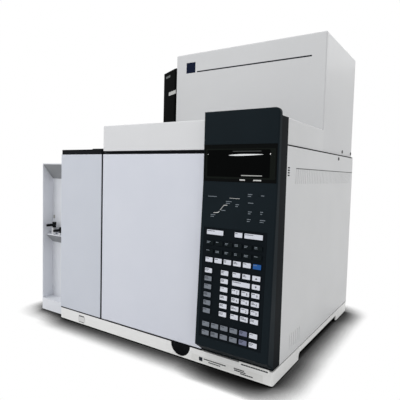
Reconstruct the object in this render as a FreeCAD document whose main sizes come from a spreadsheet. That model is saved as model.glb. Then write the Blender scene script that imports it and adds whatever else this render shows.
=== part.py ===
"""Bench gas chromatograph with an auxiliary valve oven, a sampler tower and a side utility box.

The frame is X to the right, Y to the back and Z up, in millimetres. The origin is on the bench, under
the middle of the whole instrument. The front of the cabinet faces -Y.
"""
import FreeCAD, Part
import math
import os
from types import SimpleNamespace

import Sketcher

# Driving dimensions, one sheet row each: name, value, meaning
SIZES = (
    ("cabinet_wide", 580.0, "outside width of the oven cabinet"),
    ("cabinet_deep", 510.0, "depth from the door face to the rear panel"),
    ("carrier_wide", 100.0, "width of the utility box on the left side"),
    ("sheet_thick", 1.5, "sheet metal of panels and covers"),
    ("fit_gap", 0.3, "gap round a piece that moves in an opening"),
    ("run_gap", 0.05, "radial clearance of a shaft or pin"),
    ("feet_high", 3.0, "height of the rubber feet"),
    ("foot_radius", 12.0, "radius of a foot"),
    ("foot_inset", 28.0, "foot centre from the cabinet's sides"),
    ("boss_rim", 6.0, "rim of the foot boss round the foot"),
    ("base_high", 25.5, "height of the base frame"),
    ("base_wall", 3.0, "wall of the base frame"),
    ("base_deck", 2.5, "top plate of the base frame"),
    ("base_corner", 4.0, "corner radius of the base frame"),
    ("arch_start", 130.7, "front end of the side arch, from the front"),
    ("arch_end", 410.9, "rear end of the side arch, from the front"),
    ("arch_high", 14.0, "height of the side arch above the base's lower edge"),
    ("arch_corner", 8.0, "corner radius of the side arch"),
    ("rib_back", 20.0, "guide rib behind the front wall"),
    ("rib_thick", 3.0, "thickness of a guide rib"),
    ("rib_half", 18.0, "half width of a guide rib"),
    ("button_across", 79.0, "power button centre from the cabinet's left side"),
    ("button_up", 14.0, "height of the power button's centre"),
    ("button_wide", 22.0, "power button opening width"),
    ("button_high", 12.0, "power button opening height"),
    ("button_proud", 1.0, "power button stands out of the front by this"),
    ("button_long", 8.0, "length of the button's cap"),
    ("stem_long", 21.0, "length of the stem behind a button or latch"),
    ("stem_half", 4.0, "half width of a stem"),
    ("latch_across", 230.5, "latch centre from the door's left edge"),
    ("latch_radius", 24.0, "radius of the half-round latch recess"),
    ("latch_set", 1.0, "latch face behind the front"),
    ("latch_thick", 8.0, "thickness of the latch plate"),
    ("latch_room", 13.0, "depth of the latch recess"),
    ("stem_drop", 12.0, "latch stem centre below the base's top"),
    ("panel_lift", 2.5, "gap between base and door"),
    ("door_high", 383.5, "height of the door and the left panel"),
    ("deck_rise", 6.5, "top of the deck above the door"),
    ("deck_thick", 2.0, "deck plate"),
    ("deck_fold", 3.0, "height of the fold under the deck's front"),
    ("deck_fold_set", 15.0, "fold behind the door face"),
    ("deck_set", 1.0, "front edge of the deck behind the door face"),
    ("bay_wide", 143.0, "width of the left front panel"),
    ("bay_gap", 4.0, "gap between left panel and door"),
    ("bay_deep", 18.0, "depth of the left front panel's returns"),
    ("cap_high", 11.5, "height of the black cap on the left bay"),
    ("cap_wall", 2.0, "wall of the black cap"),
    ("pad_wide", 35.0, "raised pad at the front of the cap"),
    ("pad_deep", 40.0, "depth of the raised pad"),
    ("pad_high", 2.0, "height of the raised pad"),
    ("pad_inset", 4.0, "raised pad from the cap's right and front edges"),
    ("door_gap", 1.2, "gap between door and control panel"),
    ("door_deep", 20.0, "depth of the door shell"),
    ("door_skin", 2.0, "wall of the door shell"),
    ("door_round", 2.5, "radius of the door's front edges"),
    ("pin_inset", 7.0, "hinge axis from the door's left edge and face"),
    ("pin_radius", 3.0, "hinge pin radius"),
    ("pin_long", 14.0, "engagement of a hinge pin in the door"),
    ("collar_radius", 6.0, "collar of a hinge pin"),
    ("collar_thick", 2.0, "thickness of the collar"),
    ("boss_half", 6.0, "half width of the door's hinge boss"),
    ("liner_gap", 0.5, "door liner plate inside the door's outline"),
    ("liner_plate", 1.5, "plate of the door liner"),
    ("plug_deep", 18.0, "depth of the insulated plug"),
    ("plug_step", 20.0, "plug smaller than the cavity at each side"),
    ("plug_step_high", 12.0, "plug smaller than the cavity above and below"),
    ("plug_round", 10.0, "corner radius of the plug"),
    ("seal_thick", 3.2, "thickness of the door seal"),
    ("seal_wide", 8.0, "width of the door seal"),
    ("seal_set", 2.0, "seal outside the cavity's edge"),
    ("divider_start", 30.0, "front edge of the bay dividers, from the front"),
    ("divider_flange", 12.0, "flange of a bay divider"),
    ("divider_set", 2.0, "left divider's inner face behind the door's left edge"),
    ("oven_front", 26.0, "front of the insulation, from the front"),
    ("oven_deep", 236.0, "depth of the insulation block"),
    ("oven_top", 405.0, "top of the insulation block"),
    ("cavity_wide", 232.0, "width of the oven cavity"),
    ("cavity_high", 305.0, "height of the oven cavity"),
    ("cavity_low", 58.0, "height of the cavity's floor"),
    ("cavity_deep", 190.0, "depth of the oven cavity"),
    ("cavity_round", 3.0, "corner radius of the cavity"),
    ("board_joint", 0.4, "joint between the insulation boards"),
    ("liner_thick", 1.2, "sheet of the oven liner"),
    ("liner_flange", 14.0, "front flange of the oven liner"),
    ("liner_face", 1.0, "thickness of the liner's front flange"),
    ("shaft_radius", 4.0, "fan shaft radius"),
    ("shaft_hole", 10.0, "hole for the fan shaft in the oven's back"),
    ("shaft_reach", 28.0, "shaft length inside the motor"),
    ("fan_radius", 62.0, "radius of the oven fan"),
    ("fan_hub", 12.0, "radius of the fan's hub"),
    ("fan_blade", 12.5, "depth of the fan's blades"),
    ("fan_plate", 1.5, "thickness of the fan's plate and blades"),
    ("fan_back", 14.8, "back of the fan plate in front of the liner's back"),
    ("fan_blades", 8, "number of blades on the oven fan"),
    ("heater_radius", 76.0, "radius of the heater ring"),
    ("heater_rod", 4.0, "radius of the heater's rod"),
    ("heater_stand", 7.8, "heater centre in front of the liner's back"),
    ("heater_post", 3.0, "radius of the heater's posts"),
    ("shroud_half", 95.0, "half width of the fan shroud"),
    ("shroud_thick", 1.2, "sheet of the fan shroud"),
    ("shroud_stand", 37.6, "shroud's back in front of the liner's back"),
    ("shroud_hole", 45.0, "radius of the shroud's inlet"),
    ("shroud_slot_in", 60.0, "inner end of a shroud slot"),
    ("shroud_slot_out", 84.0, "outer end of a shroud slot"),
    ("shroud_slot_half", 2.5, "half width of a shroud slot"),
    ("shroud_slots", 12, "number of shroud slots"),
    ("shroud_leg", 84.0, "shroud legs from the fan's axis"),
    ("leg_radius", 3.0, "radius of a shroud leg"),
    ("motor_radius", 35.0, "radius of the fan motor"),
    ("motor_long", 60.0, "length of the fan motor"),
    ("motor_flange", 42.0, "radius of the motor's flange"),
    ("flange_thick", 3.0, "thickness of the motor's flange"),
    ("coil_inner", 80.0, "inner radius of the wound column's frame"),
    ("coil_frame", 4.0, "thickness of the column's frame"),
    ("coil_wound", 6.0, "thickness of the column's windings"),
    ("coil_deep", 24.0, "depth of the windings"),
    ("coil_rim", 3.0, "frame wider than the windings at each side"),
    ("coil_front", 36.0, "front of the column from the insulation's front"),
    ("coil_up", 222.0, "height of the column's centre"),
    ("hanger_wide", 14.0, "width of the hanger strap"),
    ("hanger_thick", 2.0, "thickness of the hanger strap"),
    ("hanger_clear", 0.7, "strap below the inside of the column's frame"),
    ("hanger_spare", 8.0, "strap longer than the column at each end"),
    ("hanger_foot", 15.0, "foot of the hanger on the roof"),
    ("bore_radius", 5.3, "holes for inlets and detectors"),
    ("tube_radius", 5.0, "tube of an inlet or detector"),
    ("tube_reach", 22.0, "tube length inside the oven"),
    ("inlet_across", 67.4, "inlets left of the oven's middle"),
    ("inlet_front", 62.0, "front inlet from the door face"),
    ("inlet_pitch", 70.0, "distance between the two inlets"),
    ("detector_across", 72.6, "detectors right of the oven's middle"),
    ("detector_front", 70.0, "front detector from the door face"),
    ("detector_pitch", 90.0, "distance between the two detectors"),
    ("detector_half", 22.0, "half width of a detector's body"),
    ("detector_high", 24.0, "height of a detector's body"),
    ("chimney_radius", 12.0, "radius of a detector's chimney"),
    ("chimney_high", 46.0, "top of the chimney above the deck"),
    ("inlet_flange", 22.0, "radius of an inlet's flange"),
    ("inlet_body", 14.0, "radius of an inlet's body"),
    ("inlet_nut", 10.0, "radius of an inlet's top nut"),
    ("inlet_plate", 4.0, "thickness of an inlet's flange"),
    ("inlet_high", 30.0, "height of an inlet's body"),
    ("nut_high", 12.0, "height of the inlet's top nut"),
    ("cover_high", 57.5, "height of the covers above the deck"),
    ("cover_gap", 0.8, "gap under the hinged cover"),
    ("cover_side", 1.0, "hinged cover inside the door's left edge"),
    ("cover_deep", 241.0, "rear edge of the hinged cover"),
    ("cover_round", 2.0, "edge radius of the covers"),
    ("rod_front", 236.0, "cover hinge axis from the door face"),
    ("rod_up", 49.0, "cover hinge axis above the deck"),
    ("rod_radius", 3.0, "radius of the cover's hinge rod"),
    ("knuckle_radius", 6.0, "radius of the cover's knuckles"),
    ("knuckle_long", 30.0, "length of a knuckle"),
    ("lug_inset", 6.0, "hinge lugs from the cover's sides"),
    ("lug_thick", 3.0, "thickness of a hinge lug"),
    ("lug_radius", 5.5, "radius of a lug's top"),
    ("electronics_inset", 2.4, "upper covers inside the cabinet's right side"),
    ("electronics_front", 29.5, "front of the electronics cover"),
    ("electronics_back", 244.0, "back of the electronics cover"),
    ("side_top", 428.8, "top edge of the right side panel"),
    ("side_gap", 2.6, "dark gap between the side panel and the covers over it"),
    ("rim_high", 15.0, "upstand of the deck inside the electronics cover"),
    ("louvre_start", 75.0, "first louvre slit from the front"),
    ("louvre_pitch", 10.8, "pitch of the louvre slits"),
    ("louvre_wide", 1.4, "width of a louvre slit"),
    ("louvre_high", 28.0, "height of a louvre slit"),
    ("louvre_top", 389.0, "top of the upper louvre row"),
    ("louvre_count", 39, "slits in the upper row"),
    ("lower_top", 73.0, "top of the lower louvre row"),
    ("lower_count", 6, "slits in the lower row"),
    ("crease_high", 1.8, "height of the crease over the louvres"),
    ("crease_deep", 1.1, "depth of the crease"),
    ("vent_count", 4, "small vents behind the control panel"),
    ("vent_start", 34.0, "small vents from the front"),
    ("vent_long", 8.0, "length of a small vent"),
    ("vent_pitch", 4.5, "pitch of the small vents"),
    ("vent_low", 376.0, "height of the lowest small vent"),
    ("panel_wide", 151.0, "width of the control panel"),
    ("panel_bottom", 34.0, "lower edge of the control panel"),
    ("panel_top", 491.0, "upper edge of the control panel"),
    ("panel_chin", 1.0, "lower edge of the panel in front of the door face"),
    ("chin_up", 52.0, "height at which the panel's face turns under"),
    ("bezel_proud", 11.0, "upper face in front of the door face"),
    ("bezel_lean", 14.5, "lower face further out than the upper"),
    ("lean_up", 360.0, "height at which the face starts to lean"),
    ("bezel_wall", 3.0, "wall of the bezel"),
    ("bezel_round", 3.0, "radius of the bezel's side edges"),
    ("bezel_corner", 9.0, "radius of the bezel's upper right corner"),
    ("hollow_low", 41.0, "lower end of the bezel's hollow"),
    ("hollow_high", 474.0, "upper end of the bezel's hollow"),
    ("housing_deep", 28.7, "depth of the panel's housing"),
    ("housing_bottom", 31.5, "lower edge of the housing"),
    ("housing_top", 478.0, "upper edge of the housing"),
    ("housing_wall", 2.0, "wall of the housing"),
    ("platform_set", 5.6, "keypad platform behind the bezel's face"),
    ("platform_inset", 4.0, "keypad platform inside the bezel's sides"),
    ("platform_low", 56.0, "lower end of the keypad platform"),
    ("platform_high", 348.0, "upper end of the keypad platform"),
    ("window_low", 362.0, "lower edge of the display window"),
    ("window_high", 68.0, "height of the display window"),
    ("window_side", 2.0, "display window inside the bezel's sides"),
    ("window_thick", 2.1, "thickness of the window"),
    ("window_set", 0.3, "window behind the bezel's face"),
    ("screen_side", 13.0, "display module inside the window's sides"),
    ("screen_rim", 8.0, "display module inside the window's top and bottom"),
    ("screen_deep", 5.0, "depth of the display module"),
    ("mat_left", 9.0, "keypad from the bezel's left side"),
    ("mat_wide", 128.0, "width of the keypad"),
    ("mat_top", 84.0, "top of the keypad below the lean line"),
    ("mat_high", 206.0, "height of the keypad"),
    ("mat_set", 0.2, "keypad sheet behind the bezel's face"),
    ("mat_gap", 0.5, "gap round the keypad in the bezel"),
    ("mat_flange", 2.0, "flange of the keypad behind the bezel"),
    ("mat_lip", 3.5, "flange wider than the keypad"),
    ("key_wide", 16.0, "width of a key"),
    ("key_high", 9.5, "height of a light key"),
    ("key_flat", 8.5, "height of a dark key"),
    ("key_proud", 1.4, "keys stand out of the bezel's face by this"),
    ("key_left", 16.0, "first key column from the bezel's left side"),
    ("key_pitch", 19.65, "pitch of the key columns"),
    ("row_pitch", 15.1, "pitch of the lower key rows"),
    ("dark_pitch", 16.3, "pitch of the dark key rows"),
    ("start_row", 97.0, "bottom of the start row below the lean line"),
    ("dark_row", 132.4, "bottom of the lower dark row"),
    ("menu_row", 148.5, "bottom of the menu row"),
    ("info_row", 168.8, "bottom of the first row of the lower block"),
    ("last_row", 285.7, "bottom of the last key row"),
    ("last_pitch", 16.2, "pitch of the last two key rows"),
    ("menu_left", 50.8, "second column of the lower block"),
    ("wide_key", 36.0, "width of a wide key"),
    ("key_plunge", 2.2, "a loose key's body behind the bezel's face"),
    ("board_stand", 6.0, "main board from the divider"),
    ("board_thick", 1.6, "thickness of the main board"),
    ("board_front", 70.0, "front edge of the main board"),
    ("board_long", 340.0, "length of the main board"),
    ("board_low", 130.0, "lower edge of the main board"),
    ("board_high", 260.0, "height of the main board"),
    ("chip_high", 8.0, "height of the parts on the board"),
    ("core_wide", 100.0, "width of the transformer"),
    ("core_deep", 80.0, "depth of the transformer's core"),
    ("core_high", 84.0, "height of the transformer"),
    ("winding_out", 16.0, "windings stand out of the core by this"),
    ("core_front", 250.0, "front of the transformer from the front"),
    ("blower_across", 75.0, "blower centre from the cabinet's right side"),
    ("blower_up", 330.0, "height of the blower's centre"),
    ("blower_half", 46.0, "half width of the blower's frame"),
    ("blower_deep", 25.0, "depth of the blower"),
    ("blower_bore", 42.0, "radius of the blower's bore"),
    ("rotor_radius", 40.5, "radius of the blower's rotor"),
    ("rotor_hub", 16.0, "radius of the rotor's hub"),
    ("strut_deep", 4.0, "depth of the blower's struts"),
    ("strut_half", 3.0, "half width of a strut"),
    ("rotor_shaft", 2.5, "radius of the rotor's shaft"),
    ("rotor_blades", 7, "number of rotor blades"),
    ("grille_slots", 9, "slots of the rear grille"),
    ("grille_pitch", 9.0, "pitch of the grille's slots"),
    ("grille_slot", 4.0, "height of a grille slot"),
    ("duct_wide", 84.0, "width of the exhaust duct"),
    ("duct_high", 54.0, "height of the exhaust duct"),
    ("duct_low", 290.0, "lower face of the exhaust duct"),
    ("duct_wall", 1.5, "wall of the exhaust duct"),
    ("duct_proud", 25.0, "duct stands out of the rear panel by this"),
    ("flap_front", 480.0, "flap axis from the door face"),
    ("flap_drop", 4.0, "flap axis below the duct's inner top"),
    ("flap_rod", 2.0, "radius of the flap's rod"),
    ("flap_thick", 1.6, "thickness of the flap"),
    ("socket_across", 100.0, "mains inlet centre from the right side"),
    ("socket_up", 80.0, "height of the mains inlet's centre"),
    ("socket_wide", 28.0, "width of the mains inlet"),
    ("socket_high", 20.0, "height of the mains inlet"),
    ("socket_deep", 24.0, "depth of the mains inlet's body"),
    ("socket_rim", 2.5, "wall of the mains inlet"),
    ("socket_flange", 11.0, "flange beside the mains inlet"),
    ("prong_long", 14.0, "length of the inlet's prongs"),
    ("gas_across", 60.0, "middle gas fitting from the cabinet's left side"),
    ("gas_up", 260.0, "height of the gas fittings"),
    ("gas_pitch", 30.0, "pitch of the gas fittings"),
    ("gas_neck", 5.5, "radius of a fitting's neck"),
    ("gas_nut", 8.0, "radius of a fitting's nut"),
    ("gas_tip", 5.0, "radius of a fitting's threaded end"),
    ("gas_bore", 1.7, "bore of a fitting"),
    ("nut_long", 7.0, "length of a fitting's nut"),
    ("tip_long", 10.0, "length of a fitting's threaded end"),
    ("module_wide", 96.0, "width of the pneumatics module"),
    ("module_high", 70.0, "height of the pneumatics module"),
    ("module_deep", 34.0, "depth of the pneumatics module"),
    ("module_valve", 9.0, "radius of a proportional valve"),
    ("valve_long", 38.0, "length of a proportional valve"),
    ("box_inset", 4.4, "valve oven inside the cabinet's right side"),
    ("box_wide", 409.2, "width of the valve oven"),
    ("box_front", 246.2, "front of the valve oven from the door face"),
    ("box_top", 694.6, "top of the valve oven"),
    ("box_round", 3.5, "edge radius of the valve oven's cover"),
    ("box_slots", 8, "vent slots in the valve oven's back"),
    ("slot_wide", 90.0, "width of a vent slot"),
    ("slot_high", 3.5, "height of a vent slot"),
    ("slot_pitch", 9.0, "pitch of the vent slots"),
    ("slot_low", 560.0, "height of the lowest vent slot"),
    ("inner_wide", 230.0, "width of the heated valve box"),
    ("inner_deep", 160.0, "depth of the heated valve box"),
    ("inner_high", 130.0, "height of the heated valve box"),
    ("inner_lid", 14.0, "lid of the heated valve box"),
    ("inner_front", 300.0, "front of the heated valve box"),
    ("valve_radius", 24.0, "radius of the sample valve"),
    ("valve_high", 34.0, "height of the sample valve"),
    ("actuator_half", 28.0, "half width of the valve's actuator"),
    ("actuator_high", 52.0, "height of the valve's actuator"),
    ("port_radius", 3.0, "radius of a valve port"),
    ("port_long", 9.0, "a port stands out of the valve by this"),
    ("tower_inset", 2.0, "tower from the cabinet's left side"),
    ("tower_wide", 162.0, "width of the tower"),
    ("tower_start", 403.0, "front of the tower's housing"),
    ("tower_stop", 508.0, "back of the tower"),
    ("tower_top", 697.0, "top of the tower"),
    ("tower_wall", 3.0, "wall of the tower"),
    ("tower_base", 8.0, "base plate of the tower"),
    ("tower_cap", 6.0, "top plate of the tower"),
    ("tower_chord", 397.0, "side edges of the tower's front from the door face"),
    ("prow_angle", 28.5, "slope of the tower's front faces in degrees"),
    ("prow_half", 9.5, "half width of the tower's rounded nose"),
    ("hinge_gap", 0.5, "tower door clear of its housing"),
    ("peg_radius", 1.0, "radius of the tower door's pegs"),
    ("peg_long", 3.0, "length of the tower door's pegs"),
    ("rail_radius", 4.0, "radius of the tower's guide rails"),
    ("rail_half", 24.0, "guide rails from the tower's middle"),
    ("rail_front", 488.0, "guide rails from the door face"),
    ("turret_front", 440.0, "turret centre from the door face"),
    ("turret_radius", 42.0, "radius of the turret"),
    ("turret_thick", 4.0, "thickness of the turret's disc"),
    ("turret_up", 15.0, "turret above the tower's base plate"),
    ("turret_post", 6.0, "radius of the turret's post"),
    ("post_seat", 4.0, "turret post inside the base plate"),
    ("vial_ring", 31.0, "vials from the turret's centre"),
    ("vial_radius", 5.5, "radius of a vial"),
    ("vial_high", 30.0, "height of a vial"),
    ("vials", 8, "vials on the turret"),
    ("carriage_half", 36.0, "half width of the syringe carriage"),
    ("carriage_deep", 32.0, "depth of the syringe carriage"),
    ("carriage_high", 30.0, "height of the syringe carriage"),
    ("carriage_up", 570.0, "height of the syringe carriage"),
    ("syringe_radius", 3.5, "radius of the syringe's barrel"),
    ("syringe_long", 60.0, "syringe below the carriage"),
    ("needle_radius", 0.8, "radius of the syringe's needle"),
    ("needle_long", 14.0, "length of the needle below the barrel"),
    ("carrier_front", 18.2, "front of the utility box from the door face"),
    ("carrier_deep", 150.0, "depth of the utility box"),
    ("carrier_top", 393.0, "top of the utility box"),
    ("carrier_wall", 2.0, "wall of the utility box"),
    ("carrier_recess", 31.0, "depth of the front recess"),
    ("carrier_floor", 27.0, "floor of the recess above the box's lower edge"),
    ("shelf_top", 204.0, "top of the shelf"),
    ("shelf_front", 9.8, "front of the shelf from the box's front"),
    ("shelf_drop", 24.0, "slope of the shelf's underside over its depth"),
    ("hood_drop", 38.0, "slope of the recess's ceiling over its depth"),
    ("valve_front", 19.0, "valves from the box's front"),
    ("upper_across", 24.0, "taller valve from the box's left side"),
    ("lower_across", 52.0, "shorter valve from the box's left side"),
    ("upper_body", 18.0, "height of the taller valve's body"),
    ("lower_body", 6.0, "height of the shorter valve's body"),
    ("shutoff_radius", 7.0, "radius of a shut-off valve's body"),
    ("stem_radius", 2.5, "radius of a shut-off valve's stem"),
    ("stem_high", 7.0, "height of the stem above the valve's body"),
    ("hub_radius", 5.0, "radius of a handle's hub"),
    ("hub_high", 14.0, "height of a handle's hub"),
    ("lever_long", 24.0, "reach of a handle's lever"),
    ("lever_half", 3.0, "half width of a handle's lever"),
    ("lever_low", 4.0, "underside of the lever above the hub's lower face"),
    ("lever_high", 6.0, "height of a handle's lever"),
    ("screw_head", 4.0, "radius of a cover screw's head"),
    ("screw_proud", 1.2, "height of a cover screw's head"),
    ("screw_shank", 2.0, "radius of a cover screw's shank"),
    ("panel_screw_back", 365.0, "panel screw from the front"),
    ("panel_screw_up", 421.0, "height of the panel screw"),
    ("box_screw_back", 412.0, "first valve oven screw from the front"),
    ("box_screw_last", 499.0, "last valve oven screw from the front"),
    ("box_screw_up", 441.0, "height of the valve oven's screws"),
)

SMALL = 1e-6
PLANE_ROLES = {"XY": "XY_Plane", "XZ": "XZ_Plane", "YZ": "YZ_Plane"}

doc = FreeCAD.newDocument("GasChromatograph")


# Lengths that keep their expression
class Length:
    """A number together with the sheet expression that it comes from."""

    def __init__(self, value, text):
        self.value = value
        self.text = text

    def __add__(self, other):
        return combined(self, "+", other)

    def __radd__(self, other):
        return combined(other, "+", self)

    def __sub__(self, other):
        return combined(self, "-", other)

    def __rsub__(self, other):
        return combined(other, "-", self)

    def __mul__(self, other):
        return combined(self, "*", other)

    def __rmul__(self, other):
        return combined(other, "*", self)

    def __truediv__(self, other):
        return combined(self, "/", other)

    def __neg__(self):
        return combined(0, "-", self)


def length(amount):
    """Return a plain number as a length, and a length as it is."""
    return amount if isinstance(amount, Length) else Length(float(amount), repr(amount))


def combined(left, sign, right):
    """Return the sum, difference, product or quotient of two lengths."""
    first = length(left)
    second = length(right)
    values = {
        "+": lambda: first.value + second.value,
        "-": lambda: first.value - second.value,
        "*": lambda: first.value * second.value,
        "/": lambda: first.value / second.value,
    }
    return Length(values[sign](), f"({first.text} {sign} {second.text})")


def hypotenuse(run, rise):
    """Return the straight length of a slope."""
    value = math.hypot(run.value, rise.value)
    return Length(value, f"sqrt({run.text} * {run.text} + {rise.text} * {rise.text})")


def sine(angle):
    """Return the sine of an angle in degrees."""
    return Length(math.sin(math.radians(angle.value)), f"sin({angle.text})")


def cosine(angle):
    """Return the cosine of an angle in degrees."""
    return Length(math.cos(math.radians(angle.value)), f"cos({angle.text})")


def slope_angle(run, rise):
    """Return the angle of a slope in degrees."""
    value = math.degrees(math.atan2(rise.value, run.value))
    return Length(value, f"atan2({rise.text}; {run.text})")


def make_sheet():
    """Write the driving dimensions into a spreadsheet and return them by name."""
    sheet = doc.addObject("Spreadsheet::Sheet", "Sizes")
    for row, (name, value, meaning) in enumerate(SIZES, start=1):
        sheet.set(f"A{row}", meaning)
        sheet.set(f"B{row}", str(value))
        sheet.setAlias(f"B{row}", name)
    doc.recompute()
    found = {name: Length(float(sheet.get(name)), f"Sizes.{name}") for name, _, _ in SIZES}
    return SimpleNamespace(**found)


# Sketched outlines
class Drawing:
    """The edges and rules of one sketch, collected and then added together."""

    def __init__(self):
        self.edges = []
        self.rules = []
        self.formulas = []

    def rule(self, kind, *places, size):
        """Add a dimension and remember its expression."""
        self.formulas.append((len(self.rules), size.text))
        self.rules.append(Sketcher.Constraint(kind, *places, size.value))

    def pin(self, edge, end, across, up):
        """Hold one end of an edge at its place from the sketch's origin."""
        self.rule("DistanceX", -1, 1, edge, end, size=across)
        self.rule("DistanceY", -1, 1, edge, end, size=up)

    def join(self, edge, end, other, other_end):
        """Make two edge ends meet."""
        self.rules.append(Sketcher.Constraint("Coincident", edge, end, other, other_end))

    def write(self, sketch):
        """Put the drawing into the sketch."""
        sketch.addGeometry(self.edges, False)
        sketch.addConstraint(self.rules)
        for index, text in self.formulas:
            sketch.setExpression(f"Constraints[{index}]", text)


class Path:
    """A closed outline of points (across, up) or (across, up, radius of the arc to the next point).

    The points go counter-clockwise. A positive radius bulges outwards and a negative one inwards.
    """

    def __init__(self, *points):
        self.points = [(length(p[0]), length(p[1]), length(p[2]) if len(p) > 2 else None) for p in points]

    def draw(self, drawing):
        """Add the outline's edges with each point held from the origin."""
        first = len(drawing.edges)
        ends = []
        for index, (across, up, radius) in enumerate(self.points):
            target = self.points[(index + 1) % len(self.points)]
            start = FreeCAD.Vector(across.value, up.value, 0)
            stop = FreeCAD.Vector(target[0].value, target[1].value, 0)
            edge, order = straight(start, stop) if radius is None else bowed(start, stop, radius.value)
            drawing.edges.append(edge)
            ends.append(order)
        for index, (across, up, radius) in enumerate(self.points):
            edge = first + index
            drawing.pin(edge, ends[index][0], across, up)
            after = (index + 1) % len(self.points)
            drawing.join(edge, ends[index][1], first + after, ends[after][0])
            if radius is not None:
                size = radius if radius.value > 0 else -radius
                drawing.rule("Radius", edge, size=size)


class Rect(Path):
    """A rectangle between two corners, with an optional corner radius."""

    def __init__(self, left, low, right, high, radius=None):
        if radius is None:
            super().__init__((left, low), (right, low), (right, high), (left, high))
            return
        super().__init__(
            (left + radius, low),
            (right - radius, low, radius),
            (right, low + radius),
            (right, high - radius, radius),
            (right - radius, high),
            (left + radius, high, radius),
            (left, high - radius),
            (left, low + radius, radius),
        )


class Disc:
    """A full circle."""

    def __init__(self, across, up, radius):
        self.centre = (length(across), length(up))
        self.radius = length(radius)

    def draw(self, drawing):
        """Add the circle with its centre and radius held."""
        edge = len(drawing.edges)
        centre = FreeCAD.Vector(self.centre[0].value, self.centre[1].value, 0)
        drawing.edges.append(Part.Circle(centre, FreeCAD.Vector(0, 0, 1), self.radius.value))
        drawing.pin(edge, 3, *self.centre)
        drawing.rule("Radius", edge, size=self.radius)


def straight(start, stop):
    """Return a straight edge and the numbers of its first and last end."""
    return Part.LineSegment(start, stop), (1, 2)


def bowed(start, stop, radius):
    """Return an arc between two points and the numbers of its first and last end."""
    half = (stop - start) * 0.5
    rise = math.sqrt(max(radius * radius - half.Length ** 2, 0))
    side = FreeCAD.Vector(-half.y, half.x, 0)
    side.normalize()
    centre = start + half + side * math.copysign(rise, radius)
    circle = Part.Circle(centre, FreeCAD.Vector(0, 0, 1), abs(radius))
    first = math.atan2(start.y - centre.y, start.x - centre.x)
    last = math.atan2(stop.y - centre.y, stop.x - centre.x)
    if radius > 0:
        return Part.ArcOfCircle(circle, first, last), (1, 2)
    return Part.ArcOfCircle(circle, last, first), (2, 1)


# Bodies and their features
bodies = []


def bind(thing, path, amount):
    """Tie one property to its expression."""
    thing.setExpression(path, length(amount).text)


def new_body(name, across=None, back=None, up=None):
    """Start a sub-part, placed at a point when one is given."""
    body = doc.addObject("PartDesign::Body", name)
    body.Label = name
    for axis, amount in (("x", across), ("y", back), ("z", up)):
        if amount is not None:
            bind(body, f"Placement.Base.{axis}", amount)
    bodies.append(body)
    return body


def origin_item(body, role):
    """Return an origin plane or axis of a body."""
    return next(item for item in body.Origin.OriginFeatures if item.Role == role)


def sketch_on(body, plane, level, shapes):
    """Sketch the shapes on an origin plane moved to a level along its axis."""
    sketch = body.newObject("Sketcher::SketchObject", f"{body.Name}_sketch")
    sketch.AttachmentSupport = [(origin_item(body, PLANE_ROLES[plane]), "")]
    sketch.MapMode = "FlatFace"
    offset = -length(level) if plane == "XZ" else length(level)
    bind(sketch, "AttachmentOffset.Base.z", offset)
    drawing = Drawing()
    for shape in shapes:
        shape.draw(drawing)
    drawing.write(sketch)
    return sketch


def add(body, plane, start, end, *shapes):
    """Add the shapes as solid from start to end along the plane's axis."""
    pad = body.newObject("PartDesign::Pad", f"{body.Name}_pad")
    pad.Profile = sketch_on(body, plane, start, shapes)
    bind(pad, "Length", length(end) - start)
    pad.Reversed = plane == "XZ"
    body.Tip = pad
    return pad


def cut(body, plane, start, end, *shapes):
    """Take the shapes away from start to end along the plane's axis."""
    pocket = body.newObject("PartDesign::Pocket", f"{body.Name}_pocket")
    pocket.Profile = sketch_on(body, plane, start, shapes)
    bind(pocket, "Length", length(end) - start)
    pocket.Reversed = plane != "XZ"
    body.Tip = pocket
    return pocket


def turn(body, along, *shapes):
    """Revolve the shapes about the body's own axis.

    Along Z an outline gives (radius, height), along Y (radius, depth) and along X (place, radius).
    """
    plane = "XZ" if along == "Z" else "XY"
    revolution = body.newObject("PartDesign::Revolution", f"{body.Name}_turn")
    sketch = sketch_on(body, plane, 0, shapes)
    revolution.Profile = sketch
    revolution.ReferenceAxis = (sketch, ["H_Axis" if along == "X" else "V_Axis"])
    body.Tip = revolution
    return revolution


def around(body, along, count, feature):
    """Repeat a feature about the body's own axis."""
    pattern = body.newObject("PartDesign::PolarPattern", f"{body.Name}_round")
    pattern.Originals = [feature]
    pattern.Axis = (origin_item(body, f"{along}_Axis"), [""])
    bind(pattern, "Occurrences", count)
    body.Tip = pattern
    return pattern


def repeat(body, along, pitch, count, feature):
    """Repeat a feature along one axis."""
    pattern = body.newObject("PartDesign::LinearPattern", f"{body.Name}_row")
    pattern.Originals = [feature]
    pattern.Direction = (origin_item(body, f"{along}_Axis"), [""])
    pattern.Mode = "Spacing"
    bind(pattern, "Offset", pitch)
    bind(pattern, "Occurrences", count)
    body.Tip = pattern
    return pattern


def soften(body, radius, wanted):
    """Round the edges of a body's last feature that a test picks."""
    doc.recompute()
    base = body.Tip
    names = [f"Edge{index}" for index, edge in enumerate(base.Shape.Edges, start=1) if wanted(edge)]
    fillet = body.newObject("PartDesign::Fillet", f"{body.Name}_round")
    fillet.Base = (base, names)
    bind(fillet, "Radius", radius)
    body.Tip = fillet
    return fillet


def lies_at(edge, axis, amount):
    """Tell whether a whole edge lies at one coordinate."""
    box = edge.BoundBox
    low = getattr(box, f"{axis}Min")
    high = getattr(box, f"{axis}Max")
    return abs(low - amount.value) < 0.01 and abs(high - amount.value) < 0.01


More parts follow.
